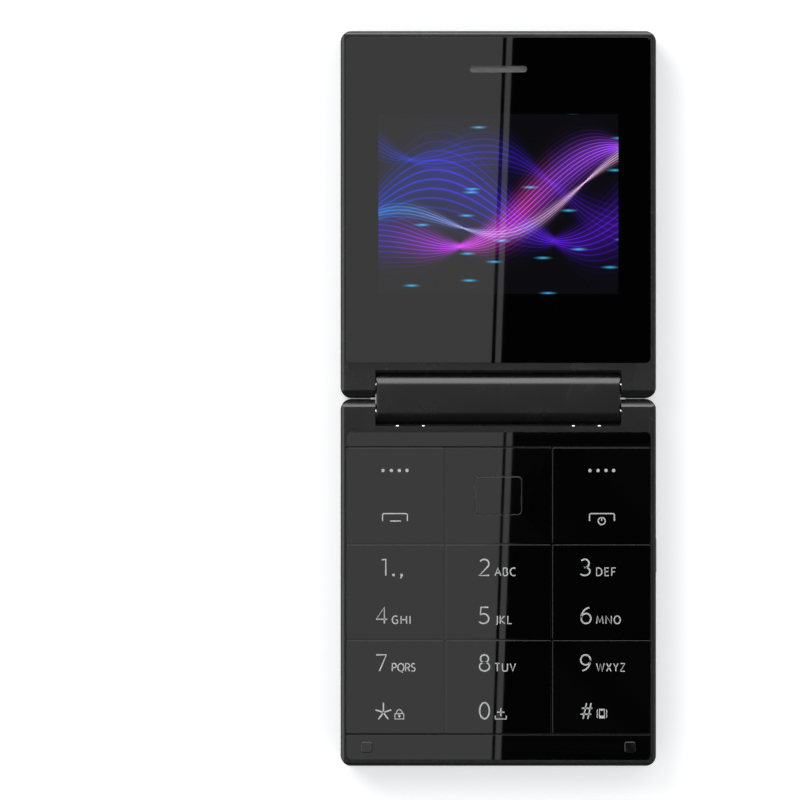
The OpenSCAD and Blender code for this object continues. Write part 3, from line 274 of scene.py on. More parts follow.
# %% Cards over the camera and round it
CARD_UP = 2.4                        # height of the cards above the front faces
REACH = 14                           # how far the black card runs to the right
FOLD = FOLD_AT[1]                    # the mirrored edge starts afresh here, in the picture
CARD_ENDS = (-60, 860)               # heights in the picture past which the phone has ended
# The mirrored stripe and edge where they meet the near end of each half, in picture elements:
# left and right edge of the stripe, then the left edge of the black part.
LID_EDGES = (490.0, 493.8, 499.5)
BASE_EDGES = (504.7, 507.8, 513.8)
SLANT = -0.036                       # how far the edges run left for each element down


def hung(across, down):
    """The place on the card that the camera sees mirrored at this place in the picture."""
    x, y = spot(across, down)
    scale = CARD_UP / CAMERA_UP
    return x + (x - camera.location.x) * scale, y + (y - camera.location.y) * scale, front_z + CARD_UP


def slanted(across, down):
    """A point of a slanted edge that crosses the fold at this place, at another height."""
    return hung(across + SLANT * (down - FOLD), down)


def card_outlines(edges, top, bottom):
    """The stripe and the black part between two heights in the picture."""
    stripe = [slanted(edges[0], bottom), slanted(edges[1], bottom), slanted(edges[1], top), slanted(edges[0], top)]
    near, away = slanted(edges[2], bottom), slanted(edges[2], top)
    return [stripe, [near, (REACH, *near[1:]), (REACH, *away[1:]), away]]


def card_paint(name, strength):
    """A plain material that gives off light of one strength, or none."""
    material = bpy.data.materials.new(name)
    material.use_nodes = True
    material.cycles.emission_sampling = "NONE"      # mirrored only, so no light rays go to it
    material.node_tree.nodes.clear()
    light = put(material.node_tree, "ShaderNodeEmission", {"Strength": strength})
    put(material.node_tree, "ShaderNodeOutputMaterial", {"Surface": light.outputs[0]})
    return material


def gloss_card(name, outlines, strength):
    """Only glossy rays meet this card."""
    card = sheets(name, outlines, card_paint(name, strength))
    for ray in ("camera", "diffuse", "transmission", "volume_scatter", "shadow"):
        setattr(card, "visible_" + ray, False)
    return card


def leaning(x, y, low, high):
    """A card between two edges, each a (distance, height) pair, that runs from x to y sideways."""
    return [(x, *low), (y, *low), (y, *high), (x, *high)]


SIDEWAYS = 4.0
gloss_card("overhead_card", card_outlines(LID_EDGES, CARD_ENDS[0], FOLD)
           + card_outlines(BASE_EDGES, FOLD, CARD_ENDS[1]), 0)
gloss_card("far_card", [leaning(-SIDEWAYS, SIDEWAYS, (2.4, 0.87), (0.85, 2.4))], 10.5)
gloss_card("near_card", [leaning(-SIDEWAYS, SIDEWAYS, (-3.0, 0.0), (-0.42, 2.4))], 0)
gloss_card("left_card", [[(x, y, z) for y, x, z in leaning(-SIDEWAYS, SIDEWAYS, (-2.4, 0.64), (-0.7, 2.4))]], 4.5)

# %% Lamps
def soft_lamp(name, place, side, power):
    """A square area lamp that faces the phone."""
    lamp = bpy.data.lights.new(name, "AREA")
    lamp.size = side
    lamp.energy = power
    holder = bpy.data.objects.new(name, lamp)
    holder.location = place
    holder.rotation_euler = Vector(place).to_track_quat("Z", "Y").to_euler()
    scene.collection.objects.link(holder)
    return holder


soft_lamp("key_lamp", (-0.75, 0.85, 0.95), 0.9, 9)
soft_lamp("fill_lamp", (0.9, -0.6, 1.1), 1.0, 3)
print("lamps set")

# %% [markdown]
# ## Shared surface effects
#
# Moulded plastic, rubber and metal all have a fine grain, and everything that is handled has
# uneven gloss. Both effects are shader groups with named inputs, built once and used in many
# materials with different values. They read Object coordinates, so the pattern keeps its
# true size on every part.

# %% Surface groups
def build_grain():
    """Fine bumps of an even size, with a slower unevenness on top."""
    tree, given, result = new_group("grain", {"Vector": None, "Size": 0.1}, {"Height": "Float"})
    place = given.outputs["Vector"]
    scale = calc(tree, "DIVIDE", 1.0, given.outputs["Size"])
    fine = put(tree, "ShaderNodeTexNoise", {"Vector": place, "Scale": scale, "Detail": 3.0})
    slower = calc(tree, "MULTIPLY", scale, 0.12)
    slow = put(tree, "ShaderNodeTexNoise", {"Vector": place, "Scale": slower, "Detail": 2.0})
    total = calc(tree, "MULTIPLY_ADD", slow.outputs["Fac"], 0.5, fine.outputs["Fac"])
    tree.links.new(total, result.inputs["Height"])
    return tree


def build_handled():
    """Uneven gloss where fingers have been: a roughness between two values."""
    tree, given, result = new_group("handled", {"Vector": None, "Size": 8.0, "Clean": 0.1, "Smeared": 0.3},
                                    {"Roughness": "Float", "Mask": "Float"})
    scale = calc(tree, "DIVIDE", 1.0, given.outputs["Size"])
    patches = put(tree, "ShaderNodeTexNoise", {"Vector": given.outputs["Vector"], "Scale": scale,
                                               "Detail": 4.0, "Roughness": 0.6, "Distortion": 0.6})
    mask = between(tree, patches.outputs["Fac"], 0.45, 0.75)
    spread = calc(tree, "SUBTRACT", given.outputs["Smeared"], given.outputs["Clean"])
    tree.links.new(calc(tree, "MULTIPLY_ADD", mask, spread, given.outputs["Clean"]), result.inputs["Roughness"])
    tree.links.new(mask, result.inputs["Mask"])
    return tree


def build_worn_and_lit_edges():
    """1 on sharp outer edges, broken up by a little noise: where a finish wears thin, and where an edge highlight is
    painted.
    """
    tree, given, result = new_group("worn_and_lit_edges", {"Vector": None, "Size": 0.6, "Start": 0.53, "End": 0.62},
                                    {"Mask": "Float"})
    bend = put(tree, "ShaderNodeNewGeometry").outputs["Pointiness"]
    scale = calc(tree, "DIVIDE", 1.0, given.outputs["Size"])
    chips = put(tree, "ShaderNodeTexNoise", {"Vector": given.outputs["Vector"], "Scale": scale, "Detail": 2.0})
    edge = between(tree, bend, given.outputs["Start"], given.outputs["End"])
    tree.links.new(calc(tree, "MULTIPLY", edge, chips.outputs["Fac"], clamp=True), result.inputs["Mask"])
    return tree


GRAIN = build_grain()
HANDLED = build_handled()
WORN_AND_LIT_EDGES = build_worn_and_lit_edges()
print("groups:", [group.name for group in bpy.data.node_groups])


# %% Material maker
def start_material(name, roughness=0.5, metallic=0.0, **sockets):
    """A new material with a Principled shader. Returns material, tree, shader and Object coordinates."""
    material = bpy.data.materials.new(name)
    material.use_nodes = True
    tree = material.node_tree
    shader = tree.nodes["Principled BSDF"]
    shader.inputs["Roughness"].default_value = roughness
    shader.inputs["Metallic"].default_value = metallic
    for key, value in sockets.items():
        shader.inputs[key.replace("_", " ")].default_value = value
    place = put(tree, "ShaderNodeTexCoord").outputs["Object"]
    return material, tree, shader, place


def join(tree, source, shader, socket):
    tree.links.new(source, shader.inputs[socket])


def bump(tree, shader, height, distance):
    """Feeds a height to the shader's normal. The distance is the real depth in metres."""
    node = put(tree, "ShaderNodeBump", {"Height": height, "Distance": distance})
    join(tree, node.outputs[0], shader, "Normal")


# %% [markdown]
# ## Plastics and rubber
#
# The frames and the hinge are satin black plastic with a very fine grain. The keys, the strips
# and the camera plate are the same plastic under a clear hard coat, so they mirror the room.
# One function makes both: what differs is colour, gloss, grain and how much the edges are
# painted lighter, for wear and as a painted highlight.

# %% Moulded plastics
def moulded(name, colour, worn_and_lit_colour, gloss, smeared, grain_size=0.0, grain_depth=0.0, edge_wear_and_highlight=0.5, **sockets):
    """Moulded plastic: grain, patches of uneven gloss, and sharp edges painted a little lighter, for wear and as a
    painted highlight.
    """
    material, tree, shader, place = start_material(name, **sockets)
    touched = use(tree, HANDLED, Vector=place, Size=9 * MM, Clean=gloss, Smeared=smeared)
    join(tree, touched.outputs["Roughness"], shader, "Roughness")
    # Sharp edges get a lighter colour: partly wear, partly a painted edge highlight.
    worn_and_lit = use(tree, WORN_AND_LIT_EDGES, Vector=place, Size=0.5 * MM)
    mask = calc(tree, "MULTIPLY", worn_and_lit.outputs["Mask"], edge_wear_and_highlight)
    join(tree, blend_colours(tree, mask, (*colour, 1), (*worn_and_lit_colour, 1)), shader, "Base Color")
    if grain_depth:
        pits = use(tree, GRAIN, Vector=place, Size=grain_size)
        bump(tree, shader, pits.outputs["Height"], grain_depth)
    return material


satin_black = moulded("satin_black", (0.0062, 0.0062, 0.0065), (0.03, 0.03, 0.031), 0.25, 0.31,
                      0.12 * MM, 0.0008 * MM, Specular_IOR_Level=0.24)
gloss_black = moulded("gloss_black", (0.0012, 0.0012, 0.0013), (0.006, 0.006, 0.007), 0.007, 0.011,
                      edge_wear_and_highlight=0.3, IOR=1.52)
groove_black = moulded("groove_black", (0.004, 0.004, 0.0042), (0.01, 0.01, 0.01), 0.03, 0.05, edge_wear_and_highlight=0.3)
bumper_gel = moulded("bumper_gel", (0.004, 0.004, 0.004), (0.03, 0.03, 0.03), 0.03, 0.06, edge_wear_and_highlight=0.6)
soft_rubber = moulded("soft_rubber", (0.045, 0.045, 0.047), (0.07, 0.07, 0.07), 0.6, 0.75, 0.2 * MM, 0.006 * MM)
inner_plastic = moulded("inner_plastic", (0.02, 0.02, 0.022), (0.05, 0.05, 0.05), 0.45, 0.6,
                        0.3 * MM, 0.006 * MM)
gimbal_plastic = moulded("gimbal_plastic", (0.52, 0.52, 0.48), (0.6, 0.6, 0.57), 0.35, 0.5,
                         0.3 * MM, 0.004 * MM)
legend_ink = moulded("legend_ink", (0.46, 0.46, 0.46), (0.5, 0.5, 0.5), 0.4, 0.55, 0.1 * MM, 0.001 * MM)
print("plastics made")

# %% [markdown]
# ## Metals
#
# The trims are plated and bright. Shafts, gears, screws, trays and cans are plain steel, which
# keeps fine marks from turning and stamping. The rings round the lenses are dark and polished.

# %% Metals
def metal(name, colour, marks_colour, gloss, smeared, stretch, depth):
    """Metal with fine marks that run along X, stretched by the given factor."""
    material, tree, shader, place = start_material(name, metallic=1.0)
    squeezed = put(tree, "ShaderNodeMapping", {"Vector": place, "Scale": (1 / stretch, 1, 1)}).outputs[0]
    marks = use(tree, GRAIN, Vector=squeezed, Size=0.08 * MM)
    touched = use(tree, HANDLED, Vector=place, Size=4 * MM, Clean=gloss, Smeared=smeared)
    join(tree, touched.outputs["Roughness"], shader, "Roughness")
    mask = calc(tree, "MULTIPLY", marks.outputs["Height"], touched.outputs["Mask"], clamp=True)
    join(tree, blend_colours(tree, mask, (*colour, 1), (*marks_colour, 1)), shader, "Base Color")
    bump(tree, shader, marks.outputs["Height"], depth)
    return material


bright_plate = metal("bright_plate", (0.82, 0.82, 0.84), (0.7, 0.7, 0.71), 0.1, 0.2, 6, 0.0003 * MM)
brushed_steel = metal("brushed_steel", (0.52, 0.53, 0.55), (0.4, 0.4, 0.42), 0.26, 0.38, 20, 0.001 * MM)
spring_gold = metal("spring_gold", (0.83, 0.62, 0.28), (0.7, 0.5, 0.2), 0.2, 0.35, 4, 0.0006 * MM)
dark_steel = metal("dark_steel", (0.12, 0.12, 0.125), (0.09, 0.09, 0.09), 0.3, 0.45, 3, 0.001 * MM)
dark_polish = metal("dark_polish", (0.05, 0.05, 0.055), (0.04, 0.04, 0.04), 0.12, 0.2, 2, 0.0003 * MM)
mesh_grey = moulded("mesh_grey", (0.075, 0.075, 0.075), (0.11, 0.11, 0.11), 0.4, 0.5,
                    0.05 * MM, 0.0005 * MM, Specular_IOR_Level=0.3)
mesh_shade = metal("mesh_shade", (0.035, 0.035, 0.035), (0.03, 0.03, 0.03), 0.5, 0.6, 1, 0.0005 * MM)
print("metals made")

# %% [markdown]
# ## Leather
#
# The back is padded leather with fine creases that run mostly across the phone. A crease is
# where a stretched noise passes its middle value. The colour holds painted shade in the creases
# and a painted highlight on the raised cells between them.

# %% Leather finish
def grained_leather():
    material, tree, shader, place = start_material("grained_leather", Specular_IOR_Level=0.35)
    lying = put(tree, "ShaderNodeMapping", {"Vector": place, "Scale": (0.5, 1.0, 1.0)}).outputs[0]
    heights = []
    for size, distortion in ((0.85, 1.1), (0.42, 0.6)):
        cells = put(tree, "ShaderNodeTexNoise", {"Vector": lying, "Scale": 1 / (size * MM), "Detail": 2.0,
                                                 "Roughness": 0.55, "Distortion": distortion})
        off = calc(tree, "ABSOLUTE", calc(tree, "SUBTRACT", cells.outputs["Fac"], 0.5))
        heights.append(between(tree, off, 0.0, 0.09))
    relief = calc(tree, "MULTIPLY", heights[0], calc(tree, "MULTIPLY_ADD", heights[1], 0.5, 0.5))
    # Base colour: painted shade in the creases, painted highlight on the raised cells.
    join(tree, ramp(tree, relief, [(0.0, (0.002, 0.002, 0.002)), (0.4, (0.007, 0.007, 0.007)),
                                   (1.0, (0.026, 0.026, 0.026))]), shader, "Base Color")
    join(tree, between(tree, relief, 0.0, 1.0, 0.6, 0.4), shader, "Roughness")
    bump(tree, shader, relief, 0.09 * MM)
    return material


leather = grained_leather()
print("leather made")

# %% [markdown]
# ## Inner parts
#
# Boards, battery and film show only when a half is opened up, but each still gets the finish
# of the real thing: a board has green mask over copper lines, the battery a foil wrap, and the
# flexible cable amber film with copper strips.

# %% Boards, battery, film
def ruled_lines(tree, place, pitch, across, wobble):
    """0 to 1 stripes across one axis, broken up by noise: copper lines under a mask."""
    wave = put(tree, "ShaderNodeTexWave", {"Vector": place, "Scale": 1 / pitch, "Distortion": wobble, "Detail": 2.0},
               bands_direction=across)
    return between(tree, wave.outputs["Fac"], 0.55, 0.65)


def solder_mask():
    material, tree, shader, place = start_material("solder_mask", roughness=0.3)
    lines = calc(tree, "MAXIMUM", ruled_lines(tree, place, 9 * MM, "X", 3.0), ruled_lines(tree, place, 7 * MM, "Y", 4.0))
    join(tree, blend_colours(tree, lines, (0.008, 0.075, 0.032, 1), (0.025, 0.15, 0.06, 1)), shader, "Base Color")
    bump(tree, shader, lines, 0.03 * MM)
    return material


def foil_wrap():
    material, tree, shader, place = start_material("foil_wrap")
    touched = use(tree, HANDLED, Vector=place, Size=7 * MM, Clean=0.28, Smeared=0.5)
    join(tree, touched.outputs["Roughness"], shader, "Roughness")
    foil = blend_colours(tree, touched.outputs["Mask"], (0.035, 0.042, 0.06, 1), (0.05, 0.058, 0.075, 1))
    join(tree, foil, shader, "Base Color")
    bump(tree, shader, use(tree, GRAIN, Vector=place, Size=1.4 * MM).outputs["Height"], 0.02 * MM)
    return material


def amber_film():
    material, tree, shader, place = start_material("amber_film", roughness=0.28)
    strips = ruled_lines(tree, place, 3 * MM, "X", 0.0)
    join(tree, blend_colours(tree, strips, (0.42, 0.2, 0.03, 1), (0.6, 0.3, 0.12, 1)), shader, "Base Color")
    bump(tree, shader, strips, 0.01 * MM)
    return material


board_green, battery_foil, flex_amber = solder_mask(), foil_wrap(), amber_film()
print("inner finishes made")

# %% [markdown]
# ## Light on the display
#
# The cover glass is polished and printed black behind, apart from the window of the display.
# A lit picture shows there: sheets of fine threads of light that swing across a black ground,
# in blue, violet and magenta, with short pale streaks between them. The whole picture is
# arithmetic on the glass's own coordinates. A thread is where the fractional part of the
# height above a swinging centre line, counted in thread widths, comes near a whole number.

# %% Display picture
LIT_SIZE = (48.96 * MM, 36.72 * MM)      # a 2.4 inch 4:3 module
LIT_MIDDLE = Vector(((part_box("lcd_module")[0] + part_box("lcd_module")[1]) / 2))


def swing(tree, x, height, slope, reach, rate, start):
    """A centre line: height + slope x + reach sin(rate x + start)."""
    wave = calc(tree, "SINE", calc(tree, "MULTIPLY_ADD", x, rate, start))
    line = calc(tree, "MULTIPLY_ADD", x, slope, height)
    return calc(tree, "MULTIPLY_ADD", wave, reach, line)


def light_sheet(tree, x, y, line, spread, rate, start, threads):
    """Brightness of a sheet of threads round a centre line. It pinches where the spread is small."""
    twist = calc(tree, "ABSOLUTE", calc(tree, "SINE", calc(tree, "MULTIPLY_ADD", x, rate, start)))
    width = calc(tree, "MULTIPLY_ADD", twist, spread, spread * 0.12)
    off = calc(tree, "DIVIDE", calc(tree, "SUBTRACT", y, line), width)
    fraction = calc(tree, "FRACT", calc(tree, "MULTIPLY", off, threads))
    ridge = calc(tree, "ABSOLUTE", calc(tree, "MULTIPLY_ADD", fraction, 2.0, -1.0))
    thread = calc(tree, "POWER", ridge, 7.0)
    fade = calc(tree, "EXPONENT", calc(tree, "MULTIPLY", calc(tree, "MULTIPLY", off, off), -2.6))
    body = calc(tree, "MULTIPLY_ADD", thread, 0.9, 0.16)
    near = calc(tree, "POWER", calc(tree, "DIVIDE", spread, width), 0.7)
    return calc(tree, "MULTIPLY", calc(tree, "MULTIPLY", body, fade), near)


def shine(tree, total, colour, level):
    """Adds light of one colour and level to the picture so far."""
    lit = put(tree, "ShaderNodeVectorMath", {0: colour, "Scale": level}, operation="SCALE").outputs[0]
    return put(tree, "ShaderNodeVectorMath", {0: lit, 1: total}, operation="ADD").outputs[0]


def build_picture():
    """The picture in display coordinates: X from 0 to 4/3 across, Y from 0 to 1 up."""
    tree, given, result = new_group("light_threads", {"Vector": None}, {"Color": "Color"})
    parts = put(tree, "ShaderNodeSeparateXYZ", {0: given.outputs["Vector"]})
    x, y = parts.outputs["X"], parts.outputs["Y"]
    blue = ramp(tree, x, [(0.0, (0.005, 0.05, 0.6)), (0.45, (0.04, 0.03, 1.0)), (1.0, (0.1, 0.01, 0.6))])
    rose = ramp(tree, x, [(0.05, (0.08, 0.01, 0.5)), (0.4, (0.5, 0.02, 0.8)), (0.8, (1.0, 0.1, 0.7)),
                          (1.0, (0.4, 0.08, 1.0))])
    pale = ramp(tree, x, [(0.1, (0.02, 0.35, 0.9)), (0.6, (0.5, 0.4, 1.0)), (1.0, (1.0, 0.6, 0.95))])
    total = (0.002, 0.002, 0.003)
    bands = [
        (blue, 0.9, swing(tree, x, 0.42, 0.06, 0.2, 4.0, 0.4), 0.24, 2.7, 0.5, 5),
        (rose, 1.3, swing(tree, x, 0.22, 0.36, 0.13, 4.6, 2.2), 0.16, 3.4, 1.6, 6),
        (blue, 0.5, swing(tree, x, 0.9, -0.32, 0.1, 5.4, 4.0), 0.13, 4.1, 2.4, 4),
        (pale, 1.1, swing(tree, x, 0.3, 0.26, 0.15, 4.3, 1.5), 0.05, 4.7, 0.9, 3),
    ]
    for colour, level, line, spread, rate, start, threads in bands:
        bright = light_sheet(tree, x, y, line, spread, rate, start, threads)
        total = shine(tree, total, colour, calc(tree, "MULTIPLY", bright, level))
    leaning_streaks = put(tree, "ShaderNodeMapping", {"Vector": given.outputs["Vector"], "Scale": (0.4, 2.2, 1.0),
                                                      "Rotation": (0, 0, -0.32)}).outputs[0]
    streaks = put(tree, "ShaderNodeTexVoronoi", {"Vector": leaning_streaks, "Scale": 8.0, "Randomness": 0.95},
                  voronoi_dimensions="2D")
    pick = put(tree, "ShaderNodeSeparateColor", {0: streaks.outputs["Color"]}).outputs[0]
    core = calc(tree, "POWER", between(tree, streaks.outputs["Distance"], 0.2, 0.0), 2.0)
    bright = calc(tree, "MULTIPLY", core, calc(tree, "GREATER_THAN", pick, 0.72))
    total = shine(tree, total, (0.05, 0.5, 0.9), bright)
    tree.links.new(total, result.inputs["Color"])
    return tree


PICTURE_LIGHT = build_picture()


def printed_glass():
    """Glossy black glass whose window gives off the picture."""
    material, tree, shader, place = start_material("printed_glass", IOR=1.52)
    corner = (LIT_MIDDLE.x - LIT_SIZE[0] / 2, LIT_MIDDLE.y - LIT_SIZE[1] / 2, 0)
    unit = 1 / LIT_SIZE[1]
    local = put(tree, "ShaderNodeMapping", {"Vector": place, "Location": [-v * unit for v in corner],
                                            "Scale": (unit, unit, unit)}).outputs[0]
    parts = put(tree, "ShaderNodeSeparateXYZ", {0: local})
    sides = []
    for axis, middle in (("X", LIT_SIZE[0] * unit / 2), ("Y", 0.5)):
        off = calc(tree, "ABSOLUTE", calc(tree, "SUBTRACT", parts.outputs[axis], middle))
        sides.append(calc(tree, "LESS_THAN", off, middle))
    window = calc(tree, "MULTIPLY", *sides)
    picture = use(tree, PICTURE_LIGHT, Vector=local).outputs["Color"]
    join(tree, blend_colours(tree, window, (0, 0, 0, 1), picture), shader, "Emission Color")
    shader.inputs["Emission Strength"].default_value = 1.0
    join(tree, blend_colours(tree, window, (0.0008, 0.0008, 0.0009, 1), (0.002, 0.002, 0.0025, 1)), shader,
         "Base Color")
    touched = use(tree, HANDLED, Vector=place, Size=14 * MM, Clean=0.006, Smeared=0.01)
    join(tree, touched.outputs["Roughness"], shader, "Roughness")
    return material


display_glass = printed_glass()
print("display window", [round(side / MM, 2) for side in LIT_SIZE], "mm")

# %% [markdown]
# ## Finish of every solid part
#
# The record says which material slot each node has. One table turns slots into the finishes
# above, and a few parts that share a slot with something unlike them are named one by one.

# %% Give every solid part its finish
SLOT_FINISH = {
    "frame_plastic": satin_black, "key_gloss": gloss_black, "cover_glass": display_glass, "display": gloss_black,
    "leather": leather, "bright_trim": bright_plate, "dark_trim": dark_polish, "steel": brushed_steel,
    "speaker_mesh": mesh_shade, "lens_glass": gloss_black, "flash_plastic": gimbal_plastic,
    "rubber": soft_rubber, "board": board_green, "inner_plastic": inner_plastic,
    "battery_wrap": battery_foil, "flex_film": flex_amber,
}
PART_FINISH = {"nav_gimbal": gimbal_plastic, "keypad_web": groove_black, "lid_bumpers": bumper_gel, "battery_contacts": spring_gold,
               "closing_magnet": dark_steel, "torque_clip": dark_steel}
for part in frame["record"]["subparts"]:
    node = nodes[part["node"]]
    node.data.materials.clear()
    node.data.materials.append(PART_FINISH.get(part["node"], SLOT_FINISH[part["material_slot"]]))
body_of = {name: node["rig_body"] for name, node in nodes.items()}


# %% [markdown]
# ## Softened edges
#
# A real moulding has no knife edges: a tiny radius on each edge catches the light and draws
# its outline. The solid parts have sharp edges, and their meshes may not be changed. So the
# parts that show are copied, the copy's loose triangles are merged into whole faces, a Bevel
# modifier rounds the edges, and the copy stands for the part.

# %% Edge softening
def finish_piece(mesh, name, body, material=None, smooth=40):
    """Links a finished mesh as a piece that rides on a body."""
    if material:
        mesh.materials.clear()
        mesh.materials.append(material)
    if smooth:
        mesh.polygons.foreach_set("use_smooth", [True] * len(mesh.polygons))
        mesh.set_sharp_from_angle(angle=math.radians(smooth))
    piece = bpy.data.objects.new(name, mesh)
    scene.collection.objects.link(piece)
    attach(piece, body)
    return piece


def applied(piece):
    """The piece's mesh with its modifiers applied. The piece itself is removed."""
    graph = bpy.context.evaluated_depsgraph_get()
    mesh = bpy.data.meshes.new_from_object(piece.evaluated_get(graph))
    bpy.data.objects.remove(piece)
    return mesh


def soften(name, radius, segments=3):
    """Replaces a solid part with a copy whose edges have a small radius."""
    work = bmesh.new()
    work.from_mesh(nodes[name].data)
    bmesh.ops.remove_doubles(work, verts=work.verts, dist=0.002 * MM)
    bmesh.ops.dissolve_limit(work, angle_limit=math.radians(0.6), verts=work.verts, edges=work.edges)
    mesh = bpy.data.meshes.new(name + "_merged")
    work.to_mesh(mesh)
    work.free()
    if "custom_normal" in mesh.attributes:
        mesh.attributes.remove(mesh.attributes["custom_normal"])
    mesh.materials.append(nodes[name].data.materials[0])
    mesh.polygons.foreach_set("use_smooth", [True] * len(mesh.polygons))
    trial = bpy.data.objects.new(name + "_trial", mesh)
    scene.collection.objects.link(trial)
    bevel = trial.modifiers.new("edges", "BEVEL")
    bevel.width = radius
    bevel.segments = segments
    bevel.limit_method = "ANGLE"
    bevel.angle_limit = math.radians(35)
    bevel.harden_normals = True
    piece = finish_piece(applied(trial), name + "_soft", body_of[name], smooth=None)
    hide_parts(name)
    return piece


KEYS = ["soft_call_key", "soft_end_key", "key_1_4", "key_2_5", "key_3_6", "key_7_star", "key_8_0", "key_9_hash"]
EDGE_RADIUS = dict.fromkeys(KEYS + ["nav_plate", "ok_key", "keypad_strips"], 0.045 * MM)
EDGE_RADIUS.update(lid_glass=0.2 * MM, hinge_block_front=0.1 * MM, hinge_block_back=0.1 * MM,
                   camera_plate=0.06 * MM, lens_bezels=0.04 * MM, lid_bumpers=0.1 * MM, side_key=0.2 * MM,
                   base_trim=0.06 * MM, lid_trim=0.06 * MM)
for name, radius in EDGE_RADIUS.items():
    soften(name, radius)
print("softened", len(EDGE_RADIUS), "parts")

# %% [markdown]
# ## Strokes
#
# The legends are drawn in plain strokes, and so are the wires of the earpiece: each stroke is
# a chain of points with a width. One Geometry Nodes tree turns the chains into curves, and
# sweeps a profile along them, flat for ink and round for wire.

# %% Stroke sweeper
INK_SHARE = 0.08                     # thickness of the ink as a share of a stroke's width


def build_sweeper(name, round_profile):
    """Sweeps a profile along every edge chain of a mesh, scaled by its width attribute."""
    tree = bpy.data.node_groups.new(name, "GeometryNodeTree")
    tree.interface.new_socket("Geometry", in_out="INPUT", socket_type="NodeSocketGeometry")
    tree.interface.new_socket("Material", in_out="INPUT", socket_type="NodeSocketMaterial")
    tree.interface.new_socket("Geometry", in_out="OUTPUT", socket_type="NodeSocketGeometry")
    given, result = tree.nodes.new("NodeGroupInput"), tree.nodes.new("NodeGroupOutput")
    chains = put(tree, "GeometryNodeMeshToCurve", {"Mesh": given.outputs["Geometry"]})
    width = put(tree, "GeometryNodeInputNamedAttribute", {"Name": "width"}, data_type="FLOAT")
    level = put(tree, "GeometryNodeSetCurveNormal", {"Curve": chains.outputs[0]}, mode="Z_UP")
    if round_profile:
        profile = put(tree, "GeometryNodeCurvePrimitiveCircle", {"Resolution": 8, "Radius": 0.5})
    else:
        profile = put(tree, "GeometryNodeCurvePrimitiveQuadrilateral", {"Width": 1.0, "Height": INK_SHARE})
    swept = put(tree, "GeometryNodeCurveToMesh", {"Curve": level.outputs[0], "Profile Curve": profile.outputs[0],
                                                  "Scale": width.outputs["Attribute"], "Fill Caps": True})
    whole = put(tree, "GeometryNodeRealizeInstances", {"Geometry": swept.outputs[0]})
    painted = put(tree, "GeometryNodeSetMaterial", {"Geometry": whole.outputs[0],
                                                    "Material": given.outputs["Material"]})
    tree.links.new(painted.outputs[0], result.inputs[0])
    return tree


INK_SWEEPER = build_sweeper("ink_sweeper", False)
WIRE_SWEEPER = build_sweeper("wire_sweeper", True)


def draw(name, sweeper, strokes, body, material):
    """A piece made of strokes. Each is a chain of points in millimetres and a width."""
    points, widths, edges = [], [], []
    for chain, width in strokes:
        start = len(points)
        if len(chain) > 3 and math.dist(chain[0], chain[-1]) < 1e-6:
            chain = chain[:-1]
            edges.append((start + len(chain) - 1, start))
        edges += [(start + k, start + k + 1) for k in range(len(chain) - 1)]
        points += [[v * MM for v in point] for point in chain]
        widths += [width * MM] * len(chain)
    mesh = bpy.data.meshes.new(name + "_chains")
    mesh.from_pydata(points, edges, [])
    mesh.attributes.new("width", "FLOAT", "POINT").data.foreach_set("value", widths)
    holder = bpy.data.objects.new(name + "_chains", mesh)
    scene.collection.objects.link(holder)
    modifier = holder.modifiers.new("sweep", "NODES")
    modifier.node_group = sweeper
    sockets = {s.name: s.identifier for s in sweeper.interface.items_tree if s.in_out == "INPUT"}
    modifier[sockets["Material"]] = material
    return finish_piece(applied(holder), name, body, smooth=40)


# %% [markdown]
# ## Key legends
#
# Digits and letters are drawn one unit high, from lines and arcs. Each string is fitted
# between its measured left and right edge, so the spacing takes up the difference.

# %% Glyphs
def arc(middle_x, middle_y, radius_x, radius_y, start, end):
    """Points on an elliptic arc, at most 18 degrees apart."""
    steps = max(3, round(abs(end - start) / 18))
    angles = [math.radians(start + (end - start) * k / steps) for k in range(steps + 1)]
    return [(middle_x + radius_x * math.cos(a), middle_y + radius_y * math.sin(a)) for a in angles]


